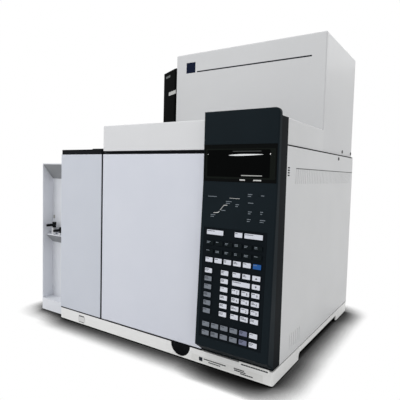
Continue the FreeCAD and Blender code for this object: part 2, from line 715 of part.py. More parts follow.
# Places that several pieces share
s = make_sheet()
LEFT = -(s.cabinet_wide + s.carrier_wide) / 2
CAB_LEFT = (s.carrier_wide - s.cabinet_wide) / 2
CAB_RIGHT = (s.carrier_wide + s.cabinet_wide) / 2
FRONT = -s.cabinet_deep / 2
BACK = s.cabinet_deep / 2
REAR_INNER = BACK - s.sheet_thick
BASE_TOP = s.feet_high + s.base_high
DOOR_LOW = BASE_TOP + s.panel_lift
DOOR_TOP = DOOR_LOW + s.door_high
DECK_TOP = DOOR_TOP + s.deck_rise
DECK_LOW = DECK_TOP - s.deck_thick
COVER_TOP = DECK_TOP + s.cover_high
BAY_RIGHT = CAB_LEFT + s.bay_wide
DOOR_LEFT = BAY_RIGHT + s.bay_gap
PANEL_LEFT = CAB_RIGHT - s.panel_wide
DOOR_RIGHT = PANEL_LEFT - s.door_gap
PIN_X = DOOR_LEFT + s.pin_inset
PIN_Y = FRONT + s.pin_inset
WEB_LEFT = DOOR_LEFT - s.divider_set
WEB_RIGHT = PANEL_LEFT
LATCH_X = DOOR_LEFT + s.latch_across
BUTTON_X = CAB_LEFT + s.button_across
CAVITY_X = (DOOR_LEFT + DOOR_RIGHT) / 2
CAVITY_LEFT = CAVITY_X - s.cavity_wide / 2
CAVITY_RIGHT = CAVITY_X + s.cavity_wide / 2
CAVITY_TOP = s.cavity_low + s.cavity_high
CAVITY_Z = s.cavity_low + s.cavity_high / 2
OVEN_FRONT = FRONT + s.oven_front
OVEN_BACK = OVEN_FRONT + s.oven_deep
CAVITY_BACK = OVEN_FRONT + s.cavity_deep
LINER_BACK = CAVITY_BACK - s.liner_thick
INLET_X = CAVITY_X - s.inlet_across
DETECTOR_X = CAVITY_X + s.detector_across
DUCT_LEFT = CAVITY_X - s.duct_wide / 2
DUCT_RIGHT = CAVITY_X + s.duct_wide / 2
DUCT_TOP = s.duct_low + s.duct_high
HINGE_Y = FRONT + s.rod_front
HINGE_Z = DECK_TOP + s.rod_up
COVER_LEFT = DOOR_LEFT + s.cover_side
COVER_RIGHT = PANEL_LEFT - s.cover_side
BLOWER_X = CAB_RIGHT - s.blower_across
SOCKET_X = CAB_RIGHT - s.socket_across
GAS_X = CAB_LEFT + s.gas_across
LEAN_HIGH = s.lean_up - s.chin_up
LEAN_LONG = hypotenuse(LEAN_HIGH, s.bezel_lean)
LEAN_ANGLE = slope_angle(LEAN_HIGH, s.bezel_lean)
UPRIGHT = LEAN_HIGH / LEAN_LONG
BEZEL_FACE = FRONT - s.bezel_proud
BOX_RIGHT = CAB_RIGHT - s.box_inset
BOX_LEFT = BOX_RIGHT - s.box_wide
TOWER_LEFT = CAB_LEFT + s.tower_inset
TOWER_RIGHT = TOWER_LEFT + s.tower_wide
TOWER_X = TOWER_LEFT + s.tower_wide / 2
CAP_TOP = DOOR_TOP + s.cap_high
TOWER_FLOOR = CAP_TOP + s.tower_base
TOWER_ROOF = s.tower_top - s.tower_cap


def face_y(up, behind=0):
    """Return the depth of the control panel's leaning face at a height, plus a distance behind it."""
    return BEZEL_FACE - s.bezel_lean * (s.lean_up - up) / LEAN_HIGH + behind


def row_ends(centre, pitch):
    """Return the two places half a pitch either side of a centre."""
    return centre - pitch / 2, centre + pitch / 2


def foot_centres():
    """Return the four places where the instrument stands."""
    across = (CAB_LEFT + s.foot_inset, CAB_RIGHT - s.foot_inset)
    back = (FRONT + s.foot_inset, BACK - s.foot_inset)
    return [(x, y) for x in across for y in back]


def roof_ports():
    """Return the places of the inlets and detectors over the oven."""
    inlets = [(INLET_X, FRONT + s.inlet_front), (INLET_X, FRONT + s.inlet_front + s.inlet_pitch)]
    first = FRONT + s.detector_front
    return inlets, [(DETECTOR_X, first), (DETECTOR_X, first + s.detector_pitch)]


# Base frame, feet, power button and door latch
def add_guide_rib(body, across, up, half_wide, half_high):
    """Hang a rib from the base's top plate with a hole for a sliding stem."""
    near = FRONT + s.rib_back
    far = near + s.rib_thick
    low = up - half_high - s.rib_thick
    add(body, "XZ", near, far, Rect(across - s.rib_half, low, across + s.rib_half, BASE_TOP - s.base_deck))
    wide = half_wide + s.fit_gap
    high = half_high + s.fit_gap
    cut(body, "XZ", near, far, Rect(across - wide, up - high, across + wide, up + high))


def make_base_frame():
    """Make the pressed base: a deep tray upside down with arches in its sides."""
    body = new_body("base_frame")
    under = BASE_TOP - s.base_deck
    add(body, "XY", s.feet_high, BASE_TOP, Rect(CAB_LEFT, FRONT, CAB_RIGHT, BACK, s.base_corner))
    hollow = Rect(CAB_LEFT + s.base_wall, FRONT + s.base_wall, CAB_RIGHT - s.base_wall, BACK - s.base_wall)
    cut(body, "XY", s.feet_high, under, hollow)
    half = s.foot_radius + s.boss_rim
    bosses = [Rect(x - half, y - half, x + half, y + half) for x, y in foot_centres()]
    add(body, "XY", s.feet_high, under, *bosses)
    near = FRONT + s.arch_start
    far = FRONT + s.arch_end
    top = s.feet_high + s.arch_high
    bend = s.arch_corner
    arch = Path(
        (near, s.feet_high), (far, s.feet_high), (far, top - bend, bend),
        (far - bend, top), (near + bend, top, bend), (near, top - bend),
    )
    cut(body, "YZ", CAB_LEFT, CAB_RIGHT, arch)
    add_guide_rib(body, BUTTON_X, s.button_up, s.stem_half, s.stem_half)
    add_guide_rib(body, LATCH_X, BASE_TOP - s.stem_drop, 2 * s.stem_half, s.stem_half)
    half_wide = s.button_wide / 2
    half_high = s.button_high / 2
    opening = Rect(
        BUTTON_X - half_wide, s.button_up - half_high, BUTTON_X + half_wide, s.button_up + half_high,
    )
    cut(body, "XZ", FRONT, FRONT + s.base_wall, opening)
    cut(body, "XZ", FRONT, FRONT + s.latch_room, Disc(LATCH_X, BASE_TOP, s.latch_radius))


def make_feet():
    """Make the four rubber feet."""
    body = new_body("rubber_feet")
    add(body, "XY", 0, s.feet_high, *[Disc(x, y, s.foot_radius) for x, y in foot_centres()])


def make_power_button():
    """Make the power button with its stem."""
    body = new_body("power_button")
    half_wide = s.button_wide / 2 - s.fit_gap
    half_high = s.button_high / 2 - s.fit_gap
    near = FRONT - s.button_proud
    far = near + s.button_long
    cap = Rect(BUTTON_X - half_wide, s.button_up - half_high, BUTTON_X + half_wide, s.button_up + half_high)
    add(body, "XZ", near, far, cap)
    half = s.stem_half
    stem = Rect(BUTTON_X - half, s.button_up - half, BUTTON_X + half, s.button_up + half)
    add(body, "XZ", far, far + s.stem_long, stem)


def make_door_latch():
    """Make the half-round latch plate that frees the oven door."""
    body = new_body("door_latch")
    radius = s.latch_radius - 2 * s.fit_gap
    top = BASE_TOP - s.fit_gap
    near = FRONT + s.latch_set
    far = near + s.latch_thick
    plate = Path((LATCH_X + radius, top), (LATCH_X - radius, top, radius), (LATCH_X, top - radius, radius))
    add(body, "XZ", near, far, plate)
    wide = 2 * s.stem_half
    up = BASE_TOP - s.stem_drop
    stem = Rect(LATCH_X - wide, up - s.stem_half, LATCH_X + wide, up + s.stem_half)
    add(body, "XZ", far, far + s.stem_long, stem)


# Cabinet panels
def make_bay_dividers():
    """Make the two channel-shaped sheets that stand at either side of the oven."""
    body = new_body("bay_dividers")
    thick = s.sheet_thick
    reach = s.divider_flange
    low = BASE_TOP
    high = DECK_LOW
    left = Path(
        (WEB_LEFT - thick, low), (WEB_LEFT + reach, low), (WEB_LEFT + reach, low + thick),
        (WEB_LEFT, low + thick), (WEB_LEFT, high - thick), (WEB_LEFT + reach, high - thick),
        (WEB_LEFT + reach, high), (WEB_LEFT - thick, high),
    )
    right = Path(
        (WEB_RIGHT - reach, low), (WEB_RIGHT + thick, low), (WEB_RIGHT + thick, high),
        (WEB_RIGHT - reach, high), (WEB_RIGHT - reach, high - thick), (WEB_RIGHT, high - thick),
        (WEB_RIGHT, low + thick), (WEB_RIGHT - reach, low + thick),
    )
    add(body, "XZ", FRONT + s.divider_start, REAR_INNER, left, right)


def make_left_side_panel():
    """Make the plain left side panel with its rear return."""
    body = new_body("left_side_panel")
    near = FRONT + s.bay_deep
    thick = s.sheet_thick
    outline = Path(
        (CAB_LEFT, near), (CAB_LEFT + thick, near), (CAB_LEFT + thick, REAR_INNER - thick),
        (CAB_LEFT + s.divider_flange, REAR_INNER - thick), (CAB_LEFT + s.divider_flange, REAR_INNER),
        (CAB_LEFT, REAR_INNER),
    )
    add(body, "XY", BASE_TOP, DOOR_TOP, outline)


def add_louvres(body, top, high, count):
    """Punch a row of upright slits into the right side panel."""
    near = FRONT + s.louvre_start
    slit = Rect(near, top - high, near + s.louvre_wide, top)
    first = cut(body, "YZ", CAB_RIGHT - s.sheet_thick, CAB_RIGHT, slit)
    repeat(body, "Y", s.louvre_pitch, count, first)


def make_right_side_panel():
    """Make the right side panel with its louvres, crease and rear return."""
    body = new_body("right_side_panel")
    inner = CAB_RIGHT - s.sheet_thick
    near = FRONT + s.housing_deep
    reach = CAB_RIGHT - s.divider_flange
    outline = Path(
        (inner, near), (CAB_RIGHT, near), (CAB_RIGHT, REAR_INNER), (reach, REAR_INNER),
        (reach, REAR_INNER - s.sheet_thick), (inner, REAR_INNER - s.sheet_thick),
    )
    add(body, "XY", DOOR_LOW, DECK_LOW, outline)
    add(body, "YZ", inner, CAB_RIGHT, Rect(near, DECK_LOW, REAR_INNER, s.side_top))
    add_louvres(body, s.louvre_top, s.louvre_high, s.louvre_count)
    add_louvres(body, s.lower_top, s.louvre_high, s.lower_count)
    start = FRONT + s.louvre_start
    crease = Rect(start, s.louvre_top, REAR_INNER, s.louvre_top + s.crease_high)
    cut(body, "YZ", CAB_RIGHT - s.crease_deep, CAB_RIGHT, crease)
    vent_near = FRONT + s.vent_start
    vent = Rect(vent_near, s.vent_low, vent_near + s.vent_long, s.vent_low + s.louvre_wide)
    first = cut(body, "YZ", inner, CAB_RIGHT, vent)
    repeat(body, "Z", s.vent_pitch, s.vent_count, first)
    hole = Disc(FRONT + s.panel_screw_back, s.panel_screw_up, s.screw_shank + s.run_gap)
    cut(body, "YZ", inner, CAB_RIGHT, hole)


def make_rear_panel():
    """Make the rear panel with its grille and the openings for duct, mains inlet and gas fittings."""
    body = new_body("rear_panel")
    gap = s.fit_gap
    add(body, "XZ", REAR_INNER, BACK, Rect(CAB_LEFT, BASE_TOP, CAB_RIGHT, DECK_LOW))
    duct = Rect(DUCT_LEFT - gap, s.duct_low - gap, DUCT_RIGHT + gap, DUCT_TOP + gap)
    half_wide = s.socket_wide / 2 + gap
    half_high = s.socket_high / 2 + gap
    socket = Rect(SOCKET_X - half_wide, s.socket_up - half_high, SOCKET_X + half_wide, s.socket_up + half_high)
    gas = [Disc(x, s.gas_up, s.gas_neck + gap) for x in gas_places()]
    cut(body, "XZ", REAR_INNER, BACK, duct, socket, *gas)
    lowest = s.blower_up - s.grille_pitch * (s.grille_slots - 1) / 2 - s.grille_slot / 2
    reach = s.rotor_radius - s.strut_deep
    slot = Rect(BLOWER_X - reach, lowest, BLOWER_X + reach, lowest + s.grille_slot)
    first = cut(body, "XZ", REAR_INNER, BACK, slot)
    repeat(body, "Z", s.grille_pitch, s.grille_slots, first)


def make_left_front_panel():
    """Make the fixed front panel of the left bay, folded back at its edges."""
    body = new_body("left_front_panel")
    thick = s.sheet_thick
    far = FRONT + s.bay_deep
    add(body, "XZ", FRONT, far, Rect(CAB_LEFT, DOOR_LOW, BAY_RIGHT, DOOR_TOP))
    inside = Rect(CAB_LEFT + thick, DOOR_LOW + thick, BAY_RIGHT - thick, DOOR_TOP - thick)
    cut(body, "XZ", FRONT + thick, far, inside)
    soften(body, s.sheet_thick, lambda edge: lies_at(edge, "Y", FRONT))


def make_left_bay_cap():
    """Make the black cap over the left bay, with the raised pad at its front."""
    body = new_body("left_bay_cap")
    near = FRONT + s.deck_set
    wall = s.cap_wall
    right = WEB_LEFT - s.sheet_thick - s.fit_gap
    add(body, "XY", DOOR_TOP, CAP_TOP, Rect(CAB_LEFT, near, right, REAR_INNER, s.base_corner))
    inside = Rect(CAB_LEFT + wall, near + wall, right - wall, REAR_INNER - wall)
    cut(body, "XY", DOOR_TOP, CAP_TOP - wall, inside)
    pad_right = right - s.pad_inset
    pad_near = near + s.pad_inset
    pad = Rect(pad_right - s.pad_wide, pad_near, pad_right, pad_near + s.pad_deep, s.base_corner)
    add(body, "XY", CAP_TOP, CAP_TOP + s.pad_high, pad)
    soften(body, s.sheet_thick, lambda edge: lies_at(edge, "Z", CAP_TOP + s.pad_high))


def make_top_deck():
    """Make the deck over oven and electronics, with the lugs that carry the cover's hinge rod."""
    body = new_body("top_deck")
    near = FRONT + s.deck_set
    step = FRONT + s.housing_deep + s.cover_gap
    left = WEB_LEFT - s.sheet_thick
    right = CAB_RIGHT - s.sheet_thick - s.fit_gap
    notch = PANEL_LEFT - s.cover_side
    outline = Path((left, near), (notch, near), (notch, step), (right, step), (right, BACK), (left, BACK))
    add(body, "XY", DECK_LOW, DECK_TOP, outline)
    fold = FRONT + s.deck_fold_set
    add(body, "XY", DECK_LOW - s.deck_fold, DECK_LOW, Rect(left, fold, notch, fold + s.deck_thick))
    inlets, detectors = roof_ports()
    cut(body, "XY", DECK_LOW, DECK_TOP, *[Disc(x, y, s.bore_radius) for x, y in inlets + detectors])
    inset = s.sheet_thick + s.fit_gap
    rim_near = FRONT + s.electronics_front + inset
    rim_far = FRONT + s.electronics_back - inset
    rim_left = PANEL_LEFT + inset
    rim_right = CAB_RIGHT - s.electronics_inset - inset
    thick = s.deck_thick
    rim = Rect(rim_left, rim_near, rim_right, rim_far)
    hollow = Rect(rim_left + thick, rim_near + thick, rim_right - thick, rim_far - thick)
    add(body, "XY", DECK_TOP, DECK_TOP + s.rim_high, rim, hollow)
    reach = s.lug_radius
    lug = Path(
        (HINGE_Y - reach, DECK_TOP), (HINGE_Y + reach, DECK_TOP), (HINGE_Y + reach, HINGE_Z, reach),
        (HINGE_Y, HINGE_Z + reach, reach), (HINGE_Y - reach, HINGE_Z),
    )
    for start in lug_starts():
        add(body, "YZ", start, start + s.lug_thick, lug)
        hole = Disc(HINGE_Y, HINGE_Z, s.rod_radius + 2 * s.run_gap)
        cut(body, "YZ", start, start + s.lug_thick, hole)


def lug_starts():
    """Return the left faces of the two hinge lugs."""
    return COVER_LEFT + s.lug_inset, COVER_RIGHT - s.lug_inset - s.lug_thick


def make_hinge_rod():
    """Make the rod that the hinged cover turns on."""
    body = new_body("cover_hinge_rod")
    first, last = lug_starts()
    add(body, "YZ", first, last + s.lug_thick, Disc(HINGE_Y, HINGE_Z, s.rod_radius))


def make_inlet_cover():
    """Make the hinged cover over inlets and detectors: top, front and two sides, open behind and below."""
    body = new_body("inlet_cover")
    thick = s.sheet_thick
    low = DECK_TOP + s.cover_gap
    far = FRONT + s.cover_deep
    add(body, "XY", low, COVER_TOP, Rect(COVER_LEFT, FRONT, COVER_RIGHT, far))
    inside = Rect(COVER_LEFT + thick, FRONT + thick, COVER_RIGHT - thick, far)
    cut(body, "XY", low, COVER_TOP - thick, inside)
    soften(body, s.cover_round, is_cover_edge)
    radius = s.knuckle_radius
    roof = COVER_TOP - thick
    knuckle = Path(
        (HINGE_Y, HINGE_Z - radius, radius), (HINGE_Y + radius, HINGE_Z),
        (HINGE_Y + radius / 2, roof + thick / 2), (HINGE_Y - radius, roof + thick / 2),
        (HINGE_Y - radius, HINGE_Z, radius),
    )
    hole = Disc(HINGE_Y, HINGE_Z, s.rod_radius + s.run_gap)
    first, last = lug_starts()
    spare = s.lug_thick + s.lug_inset
    for start in (first + spare, last - spare - s.knuckle_long + s.lug_thick):
        add(body, "YZ", start, start + s.knuckle_long, knuckle, hole)


def is_cover_edge(edge):
    """Pick the front and top outer edges of the hinged cover."""
    at_front = lies_at(edge, "Y", FRONT)
    at_top = lies_at(edge, "Z", COVER_TOP)
    at_back = lies_at(edge, "Y", FRONT + s.cover_deep)
    at_low = lies_at(edge, "Z", DECK_TOP + s.cover_gap)
    return (at_front or at_top) and not at_back and not at_low


def make_electronics_cover():
    """Make the fixed cover over the electronics."""
    body = new_body("electronics_cover")
    thick = s.sheet_thick
    near = FRONT + s.electronics_front
    far = FRONT + s.electronics_back
    right = CAB_RIGHT - s.electronics_inset
    low = s.side_top + s.side_gap
    add(body, "XY", low, COVER_TOP, Rect(PANEL_LEFT, near, right, far))
    inside = Rect(PANEL_LEFT + thick, near + thick, right - thick, far - thick)
    cut(body, "XY", low, COVER_TOP - thick, inside)
    soften(body, s.cover_round, lambda edge: lies_at(edge, "Z", COVER_TOP))


def make_cover_screws():
    """Make the screws in the side panel and the valve oven's cover."""
    body = new_body("cover_screws")
    panel = (FRONT + s.panel_screw_back, s.panel_screw_up)
    first = (FRONT + s.box_screw_back, s.box_screw_up)
    last = (FRONT + s.box_screw_last, s.box_screw_up)
    face = CAB_RIGHT
    add(body, "YZ", face, face + s.screw_proud, Disc(*panel, s.screw_head))
    add(body, "YZ", face - s.sheet_thick, face, Disc(*panel, s.screw_shank))
    face = BOX_RIGHT
    add(body, "YZ", face, face + s.screw_proud, Disc(*first, s.screw_head), Disc(*last, s.screw_head))
    add(body, "YZ", face - s.sheet_thick, face, Disc(*first, s.screw_shank), Disc(*last, s.screw_shank))


# Oven
def make_oven_insulation():
    """Make the five insulation boards round the oven cavity: four sides and the back."""
    body = new_body("oven_insulation")
    low = BASE_TOP + s.sheet_thick
    joint = s.board_joint
    boards = (
        Rect(WEB_LEFT, low, CAVITY_LEFT, s.oven_top),
        Rect(CAVITY_RIGHT, low, WEB_RIGHT, s.oven_top),
        Rect(CAVITY_LEFT + joint, low, CAVITY_RIGHT - joint, s.cavity_low),
        Rect(CAVITY_LEFT + joint, CAVITY_TOP, CAVITY_RIGHT - joint, s.oven_top),
    )
    add(body, "XZ", OVEN_FRONT, CAVITY_BACK - joint, *boards)
    add(body, "XZ", CAVITY_BACK, OVEN_BACK, Rect(WEB_LEFT, low, WEB_RIGHT, s.oven_top))
    cut(body, "XZ", CAVITY_BACK, OVEN_BACK, Disc(CAVITY_X, CAVITY_Z, s.shaft_hole), exhaust_port())
    inlets, detectors = roof_ports()
    cut(body, "XY", CAVITY_TOP, s.oven_top, *[Disc(x, y, s.bore_radius) for x, y in inlets + detectors])


def exhaust_port():
    """Return the opening of the exhaust in the oven's back."""
    wall = s.duct_wall
    return Rect(DUCT_LEFT + wall, s.duct_low + wall, DUCT_RIGHT - wall, DUCT_TOP - wall)


def make_oven_liner():
    """Make the steel liner of the oven: a deep tray with a front flange."""
    body = new_body("oven_liner")
    thick = s.liner_thick
    rim = s.liner_flange
    outer = Rect(CAVITY_LEFT, s.cavity_low, CAVITY_RIGHT, CAVITY_TOP, s.cavity_round)
    flange = Rect(
        CAVITY_LEFT - rim, s.cavity_low - rim, CAVITY_RIGHT + rim, CAVITY_TOP + rim, s.cavity_round,
    )
    inner = Rect(
        CAVITY_LEFT + thick, s.cavity_low + thick, CAVITY_RIGHT - thick, CAVITY_TOP - thick,
        s.cavity_round - thick,
    )
    add(body, "XZ", OVEN_FRONT - s.liner_face, OVEN_FRONT, flange)
    add(body, "XZ", OVEN_FRONT, CAVITY_BACK, outer)
    cut(body, "XZ", OVEN_FRONT - s.liner_face, LINER_BACK, inner)
    cut(body, "XZ", LINER_BACK, CAVITY_BACK, Disc(CAVITY_X, CAVITY_Z, s.shaft_hole), exhaust_port())
    inlets, detectors = roof_ports()
    ports = [Disc(x, y, s.bore_radius) for x, y in inlets + detectors]
    cut(body, "XY", CAVITY_TOP - thick, CAVITY_TOP, *ports)


def make_oven_heater():
    """Make the heater ring with its three posts."""
    body = new_body("oven_heater", CAVITY_X, LINER_BACK - s.heater_stand, CAVITY_Z)
    turn(body, "Y", hexagon(s.heater_radius, 0, s.heater_rod))
    post = add(body, "XZ", 0, s.heater_stand, Disc(0, s.heater_radius, s.heater_post))
    around(body, "Y", 3, post)


def make_oven_fan():
    """Make the oven fan: a bladed plate on its shaft."""
    body = new_body("oven_fan", CAVITY_X, LINER_BACK - s.fan_back, CAVITY_Z)
    front = -s.fan_plate - s.fan_blade
    shaft_end = OVEN_BACK + s.shaft_reach - LINER_BACK + s.fan_back
    profile = Path(
        (0, front), (s.fan_hub, front), (s.fan_hub, -s.fan_plate), (s.fan_radius, -s.fan_plate),
        (s.fan_radius, 0), (s.shaft_radius, 0), (s.shaft_radius, shaft_end), (0, shaft_end),
    )
    turn(body, "Y", profile)
    half = s.fan_plate / 2
    root = s.fan_hub - half
    tip = s.fan_radius - s.fan_plate
    blade = add(body, "YZ", -half, half, Rect(front, root, -half, tip))
    around(body, "Y", s.fan_blades, blade)


def make_fan_shroud():
    """Make the slotted shroud in front of the fan, with its four legs."""
    stand = s.shroud_stand
    body = new_body("fan_shroud", CAVITY_X, LINER_BACK - stand, CAVITY_Z)
    half = s.shroud_half
    plate = Rect(-half, -half, half, half, s.cavity_round)
    add(body, "XZ", -s.shroud_thick, 0, plate, Disc(0, 0, s.shroud_hole))
    slot_half = s.shroud_slot_half
    slot = Rect(-slot_half, s.shroud_slot_in, slot_half, s.shroud_slot_out)
    first = cut(body, "XZ", -s.shroud_thick, 0, slot)
    around(body, "Y", s.shroud_slots, first)
    away = s.shroud_leg
    legs = [Disc(x, z, s.leg_radius) for x in (-away, away) for z in (-away, away)]
    add(body, "XZ", 0, stand, *legs)


def make_fan_motor():
    """Make the fan motor on the back of the insulation."""
    body = new_body("fan_motor", CAVITY_X, OVEN_BACK, CAVITY_Z)
    bore = s.shaft_radius + s.run_gap
    depth = s.shaft_reach + s.flange_thick
    profile = Path(
        (bore, 0), (s.motor_flange, 0), (s.motor_flange, s.flange_thick), (s.motor_radius, s.flange_thick),
        (s.motor_radius, s.motor_long), (0, s.motor_long), (0, depth), (bore, depth),
    )
    turn(body, "Y", profile)


def make_capillary_column():
    """Make the capillary column: its windings on a round frame."""
    body = new_body("capillary_column", CAVITY_X, OVEN_FRONT + s.coil_front, s.coil_up)
    frame = s.coil_inner + s.coil_frame
    wound = frame + s.coil_wound
    far = s.coil_deep + s.coil_rim
    profile = Path(
        (s.coil_inner, -s.coil_rim), (frame, -s.coil_rim), (frame, 0), (wound, 0),
        (wound, s.coil_deep), (frame, s.coil_deep), (frame, far), (s.coil_inner, far),
    )
    turn(body, "Y", profile)


def make_column_hanger():
    """Make the strap that hangs from the oven's roof and carries the column."""
    body = new_body("column_hanger")
    thick = s.hanger_thick
    near = OVEN_FRONT + s.coil_front - s.coil_rim - s.hanger_spare
    far = OVEN_FRONT + s.coil_front + s.coil_deep + s.coil_rim + s.hanger_spare
    seat = s.coil_up + s.coil_inner - s.hanger_clear
    roof = CAVITY_TOP - s.liner_thick
    profile = Path(
        (near, seat - thick), (far, seat - thick), (far, roof - thick), (far + s.hanger_foot, roof - thick),
        (far + s.hanger_foot, roof), (far - thick, roof), (far - thick, seat), (near + thick, seat),
        (near + thick, seat + thick), (near, seat + thick),
    )
    half = s.hanger_wide / 2
    add(body, "YZ", CAVITY_X - half, CAVITY_X + half, profile)


def make_inlets():
    """Make the two injection inlets."""
    body = new_body("injection_inlets")
    roof = CAVITY_TOP - s.liner_thick - s.tube_reach
    plate = DECK_TOP + s.inlet_plate
    top = plate + s.inlet_high
    places, _ = roof_ports()
    add(body, "XY", roof, DECK_TOP, *[Disc(x, y, s.tube_radius) for x, y in places])
    add(body, "XY", DECK_TOP, plate, *[Disc(x, y, s.inlet_flange) for x, y in places])
    add(body, "XY", plate, top, *[Disc(x, y, s.inlet_body) for x, y in places])
    add(body, "XY", top, top + s.nut_high, *[Disc(x, y, s.inlet_nut) for x, y in places])
    cut(body, "XY", plate, top + s.nut_high, *[Disc(x, y, s.needle_radius + s.fit_gap) for x, y in places])


def make_detectors():
    """Make the two detectors: a block on the deck with a round chimney."""
    body = new_body("detectors")
    roof = CAVITY_TOP - s.liner_thick - s.tube_reach
    half = s.detector_half
    top = DECK_TOP + s.detector_high
    chimney = DECK_TOP + s.chimney_high
    _, places = roof_ports()
    add(body, "XY", roof, DECK_TOP, *[Disc(x, y, s.tube_radius) for x, y in places])
    add(body, "XY", DECK_TOP, top, *[Rect(x - half, y - half, x + half, y + half, s.base_corner) for x, y in places])
    add(body, "XY", top, chimney, *[Disc(x, y, s.chimney_radius) for x, y in places])
    cut(body, "XY", top, chimney, *[Disc(x, y, s.tube_radius) for x, y in places])


# Oven door
def add_hinge_boss(body, low, high):
    """Add a bored boss for a hinge pin inside the door shell."""
    half = s.boss_half
    left = DOOR_LEFT + s.door_skin / 2
    near = FRONT + s.door_skin / 2
    add(body, "XY", low, high, Rect(left, near, PIN_X + half, PIN_Y + half))
    cut(body, "XY", low, high, Disc(PIN_X, PIN_Y, s.pin_radius + s.run_gap))


def make_oven_door():
    """Make the door's outer shell with its two hinge bosses."""
    body = new_body("oven_door")
    skin = s.door_skin
    far = FRONT + s.door_deep
    add(body, "XZ", FRONT, far, Rect(DOOR_LEFT, DOOR_LOW, DOOR_RIGHT, DOOR_TOP))
    cut(body, "XZ", FRONT + skin, far, Rect(DOOR_LEFT + skin, DOOR_LOW + skin, DOOR_RIGHT - skin, DOOR_TOP - skin))
    soften(body, s.door_round, lambda edge: lies_at(edge, "Y", FRONT))
    add_hinge_boss(body, DOOR_LOW, DOOR_LOW + s.pin_long)
    add_hinge_boss(body, DOOR_TOP - s.pin_long, DOOR_TOP)


def make_door_liner():
    """Make the door's inner plate with the insulated plug that enters the oven."""
    body = new_body("door_liner")
    near = FRONT + s.door_deep
    plate = near + s.liner_plate
    far = plate + s.plug_deep
    gap = s.liner_gap
    wall = s.liner_plate
    add(body, "XZ", near, plate, Rect(DOOR_LEFT + gap, DOOR_LOW + gap, DOOR_RIGHT - gap, DOOR_TOP - gap))
    left = CAVITY_LEFT + s.plug_step
    right = CAVITY_RIGHT - s.plug_step
    low = s.cavity_low + s.plug_step_high
    high = CAVITY_TOP - s.plug_step_high
    add(body, "XZ", plate, far, Rect(left, low, right, high, s.plug_round))
    hollow = Rect(left + wall, low + wall, right - wall, high - wall, s.plug_round - wall)
    cut(body, "XZ", near, far - wall, hollow)


def make_door_seal():
    """Make the seal round the door's plug."""
    body = new_body("door_seal")
    near = FRONT + s.door_deep + s.liner_plate
    inner = s.seal_set
    outer = s.seal_set + s.seal_wide
    ring = [
        Rect(CAVITY_LEFT - edge, s.cavity_low - edge, CAVITY_RIGHT + edge, CAVITY_TOP + edge, s.plug_round)
        for edge in (outer, inner)
    ]
    add(body, "XZ", near, near + s.seal_thick, *ring)


def make_hinge_pins():
    """Make the lower and upper hinge pins with their collars."""
    body = new_body("hinge_pins")
    add(body, "XY", BASE_TOP, BASE_TOP + s.collar_thick, Disc(PIN_X, PIN_Y, s.collar_radius))
    add(body, "XY", BASE_TOP + s.collar_thick, DOOR_LOW + s.pin_long - s.fit_gap, Disc(PIN_X, PIN_Y, s.pin_radius))
    add(body, "XY", DECK_LOW - s.collar_thick, DECK_LOW, Disc(PIN_X, PIN_Y, s.collar_radius))
    low = DOOR_TOP - s.pin_long + s.fit_gap
    add(body, "XY", low, DECK_LOW - s.collar_thick, Disc(PIN_X, PIN_Y, s.pin_radius))


# Exhaust
def make_exhaust_duct():
    """Make the exhaust duct from the oven's back through the rear panel."""
    body = new_body("exhaust_duct")
    add(body, "XZ", OVEN_BACK, BACK + s.duct_proud, Rect(DUCT_LEFT, s.duct_low, DUCT_RIGHT, DUCT_TOP), exhaust_port())
    hole = Disc(FRONT + s.flap_front, flap_up(), s.flap_rod + s.run_gap)
    cut(body, "YZ", DUCT_LEFT, DUCT_RIGHT, hole)


def flap_up():
    """Return the height of the flap's axis."""
    return DUCT_TOP - s.duct_wall - s.flap_drop


def make_vent_flap():
    """Make the exhaust flap on its rod."""
    body = new_body("vent_flap")
    axis_y = FRONT + s.flap_front
    add(body, "YZ", DUCT_LEFT, DUCT_RIGHT, Disc(axis_y, flap_up(), s.flap_rod))
    half = s.flap_thick / 2
    inside = s.duct_wall + s.hinge_gap
    low = s.duct_low + inside
    plate = Rect(axis_y - half, low, axis_y + half, flap_up())
    add(body, "YZ", DUCT_LEFT + inside, DUCT_RIGHT - inside, plate)


# Control panel
def make_panel_housing():
    """Make the housing behind the control panel, with the leaning platform for the keypad."""
    body = new_body("panel_housing")
    wall = s.housing_wall
    far = FRONT + s.housing_deep
    add(body, "XZ", FRONT, far, Rect(PANEL_LEFT, s.housing_bottom, CAB_RIGHT, s.housing_top))
    inside = Rect(PANEL_LEFT + wall, s.housing_bottom + wall, CAB_RIGHT - wall, s.housing_top - wall)
    cut(body, "XZ", FRONT + wall, far, inside)
    low = s.platform_low
    high = s.platform_high
    behind = s.platform_set
    platform = Path((face_y(low, behind), low), (FRONT, low), (FRONT, high), (face_y(high, behind), high))
    side = s.bezel_wall + s.platform_inset
    add(body, "YZ", PANEL_LEFT + side, CAB_RIGHT - side, platform)


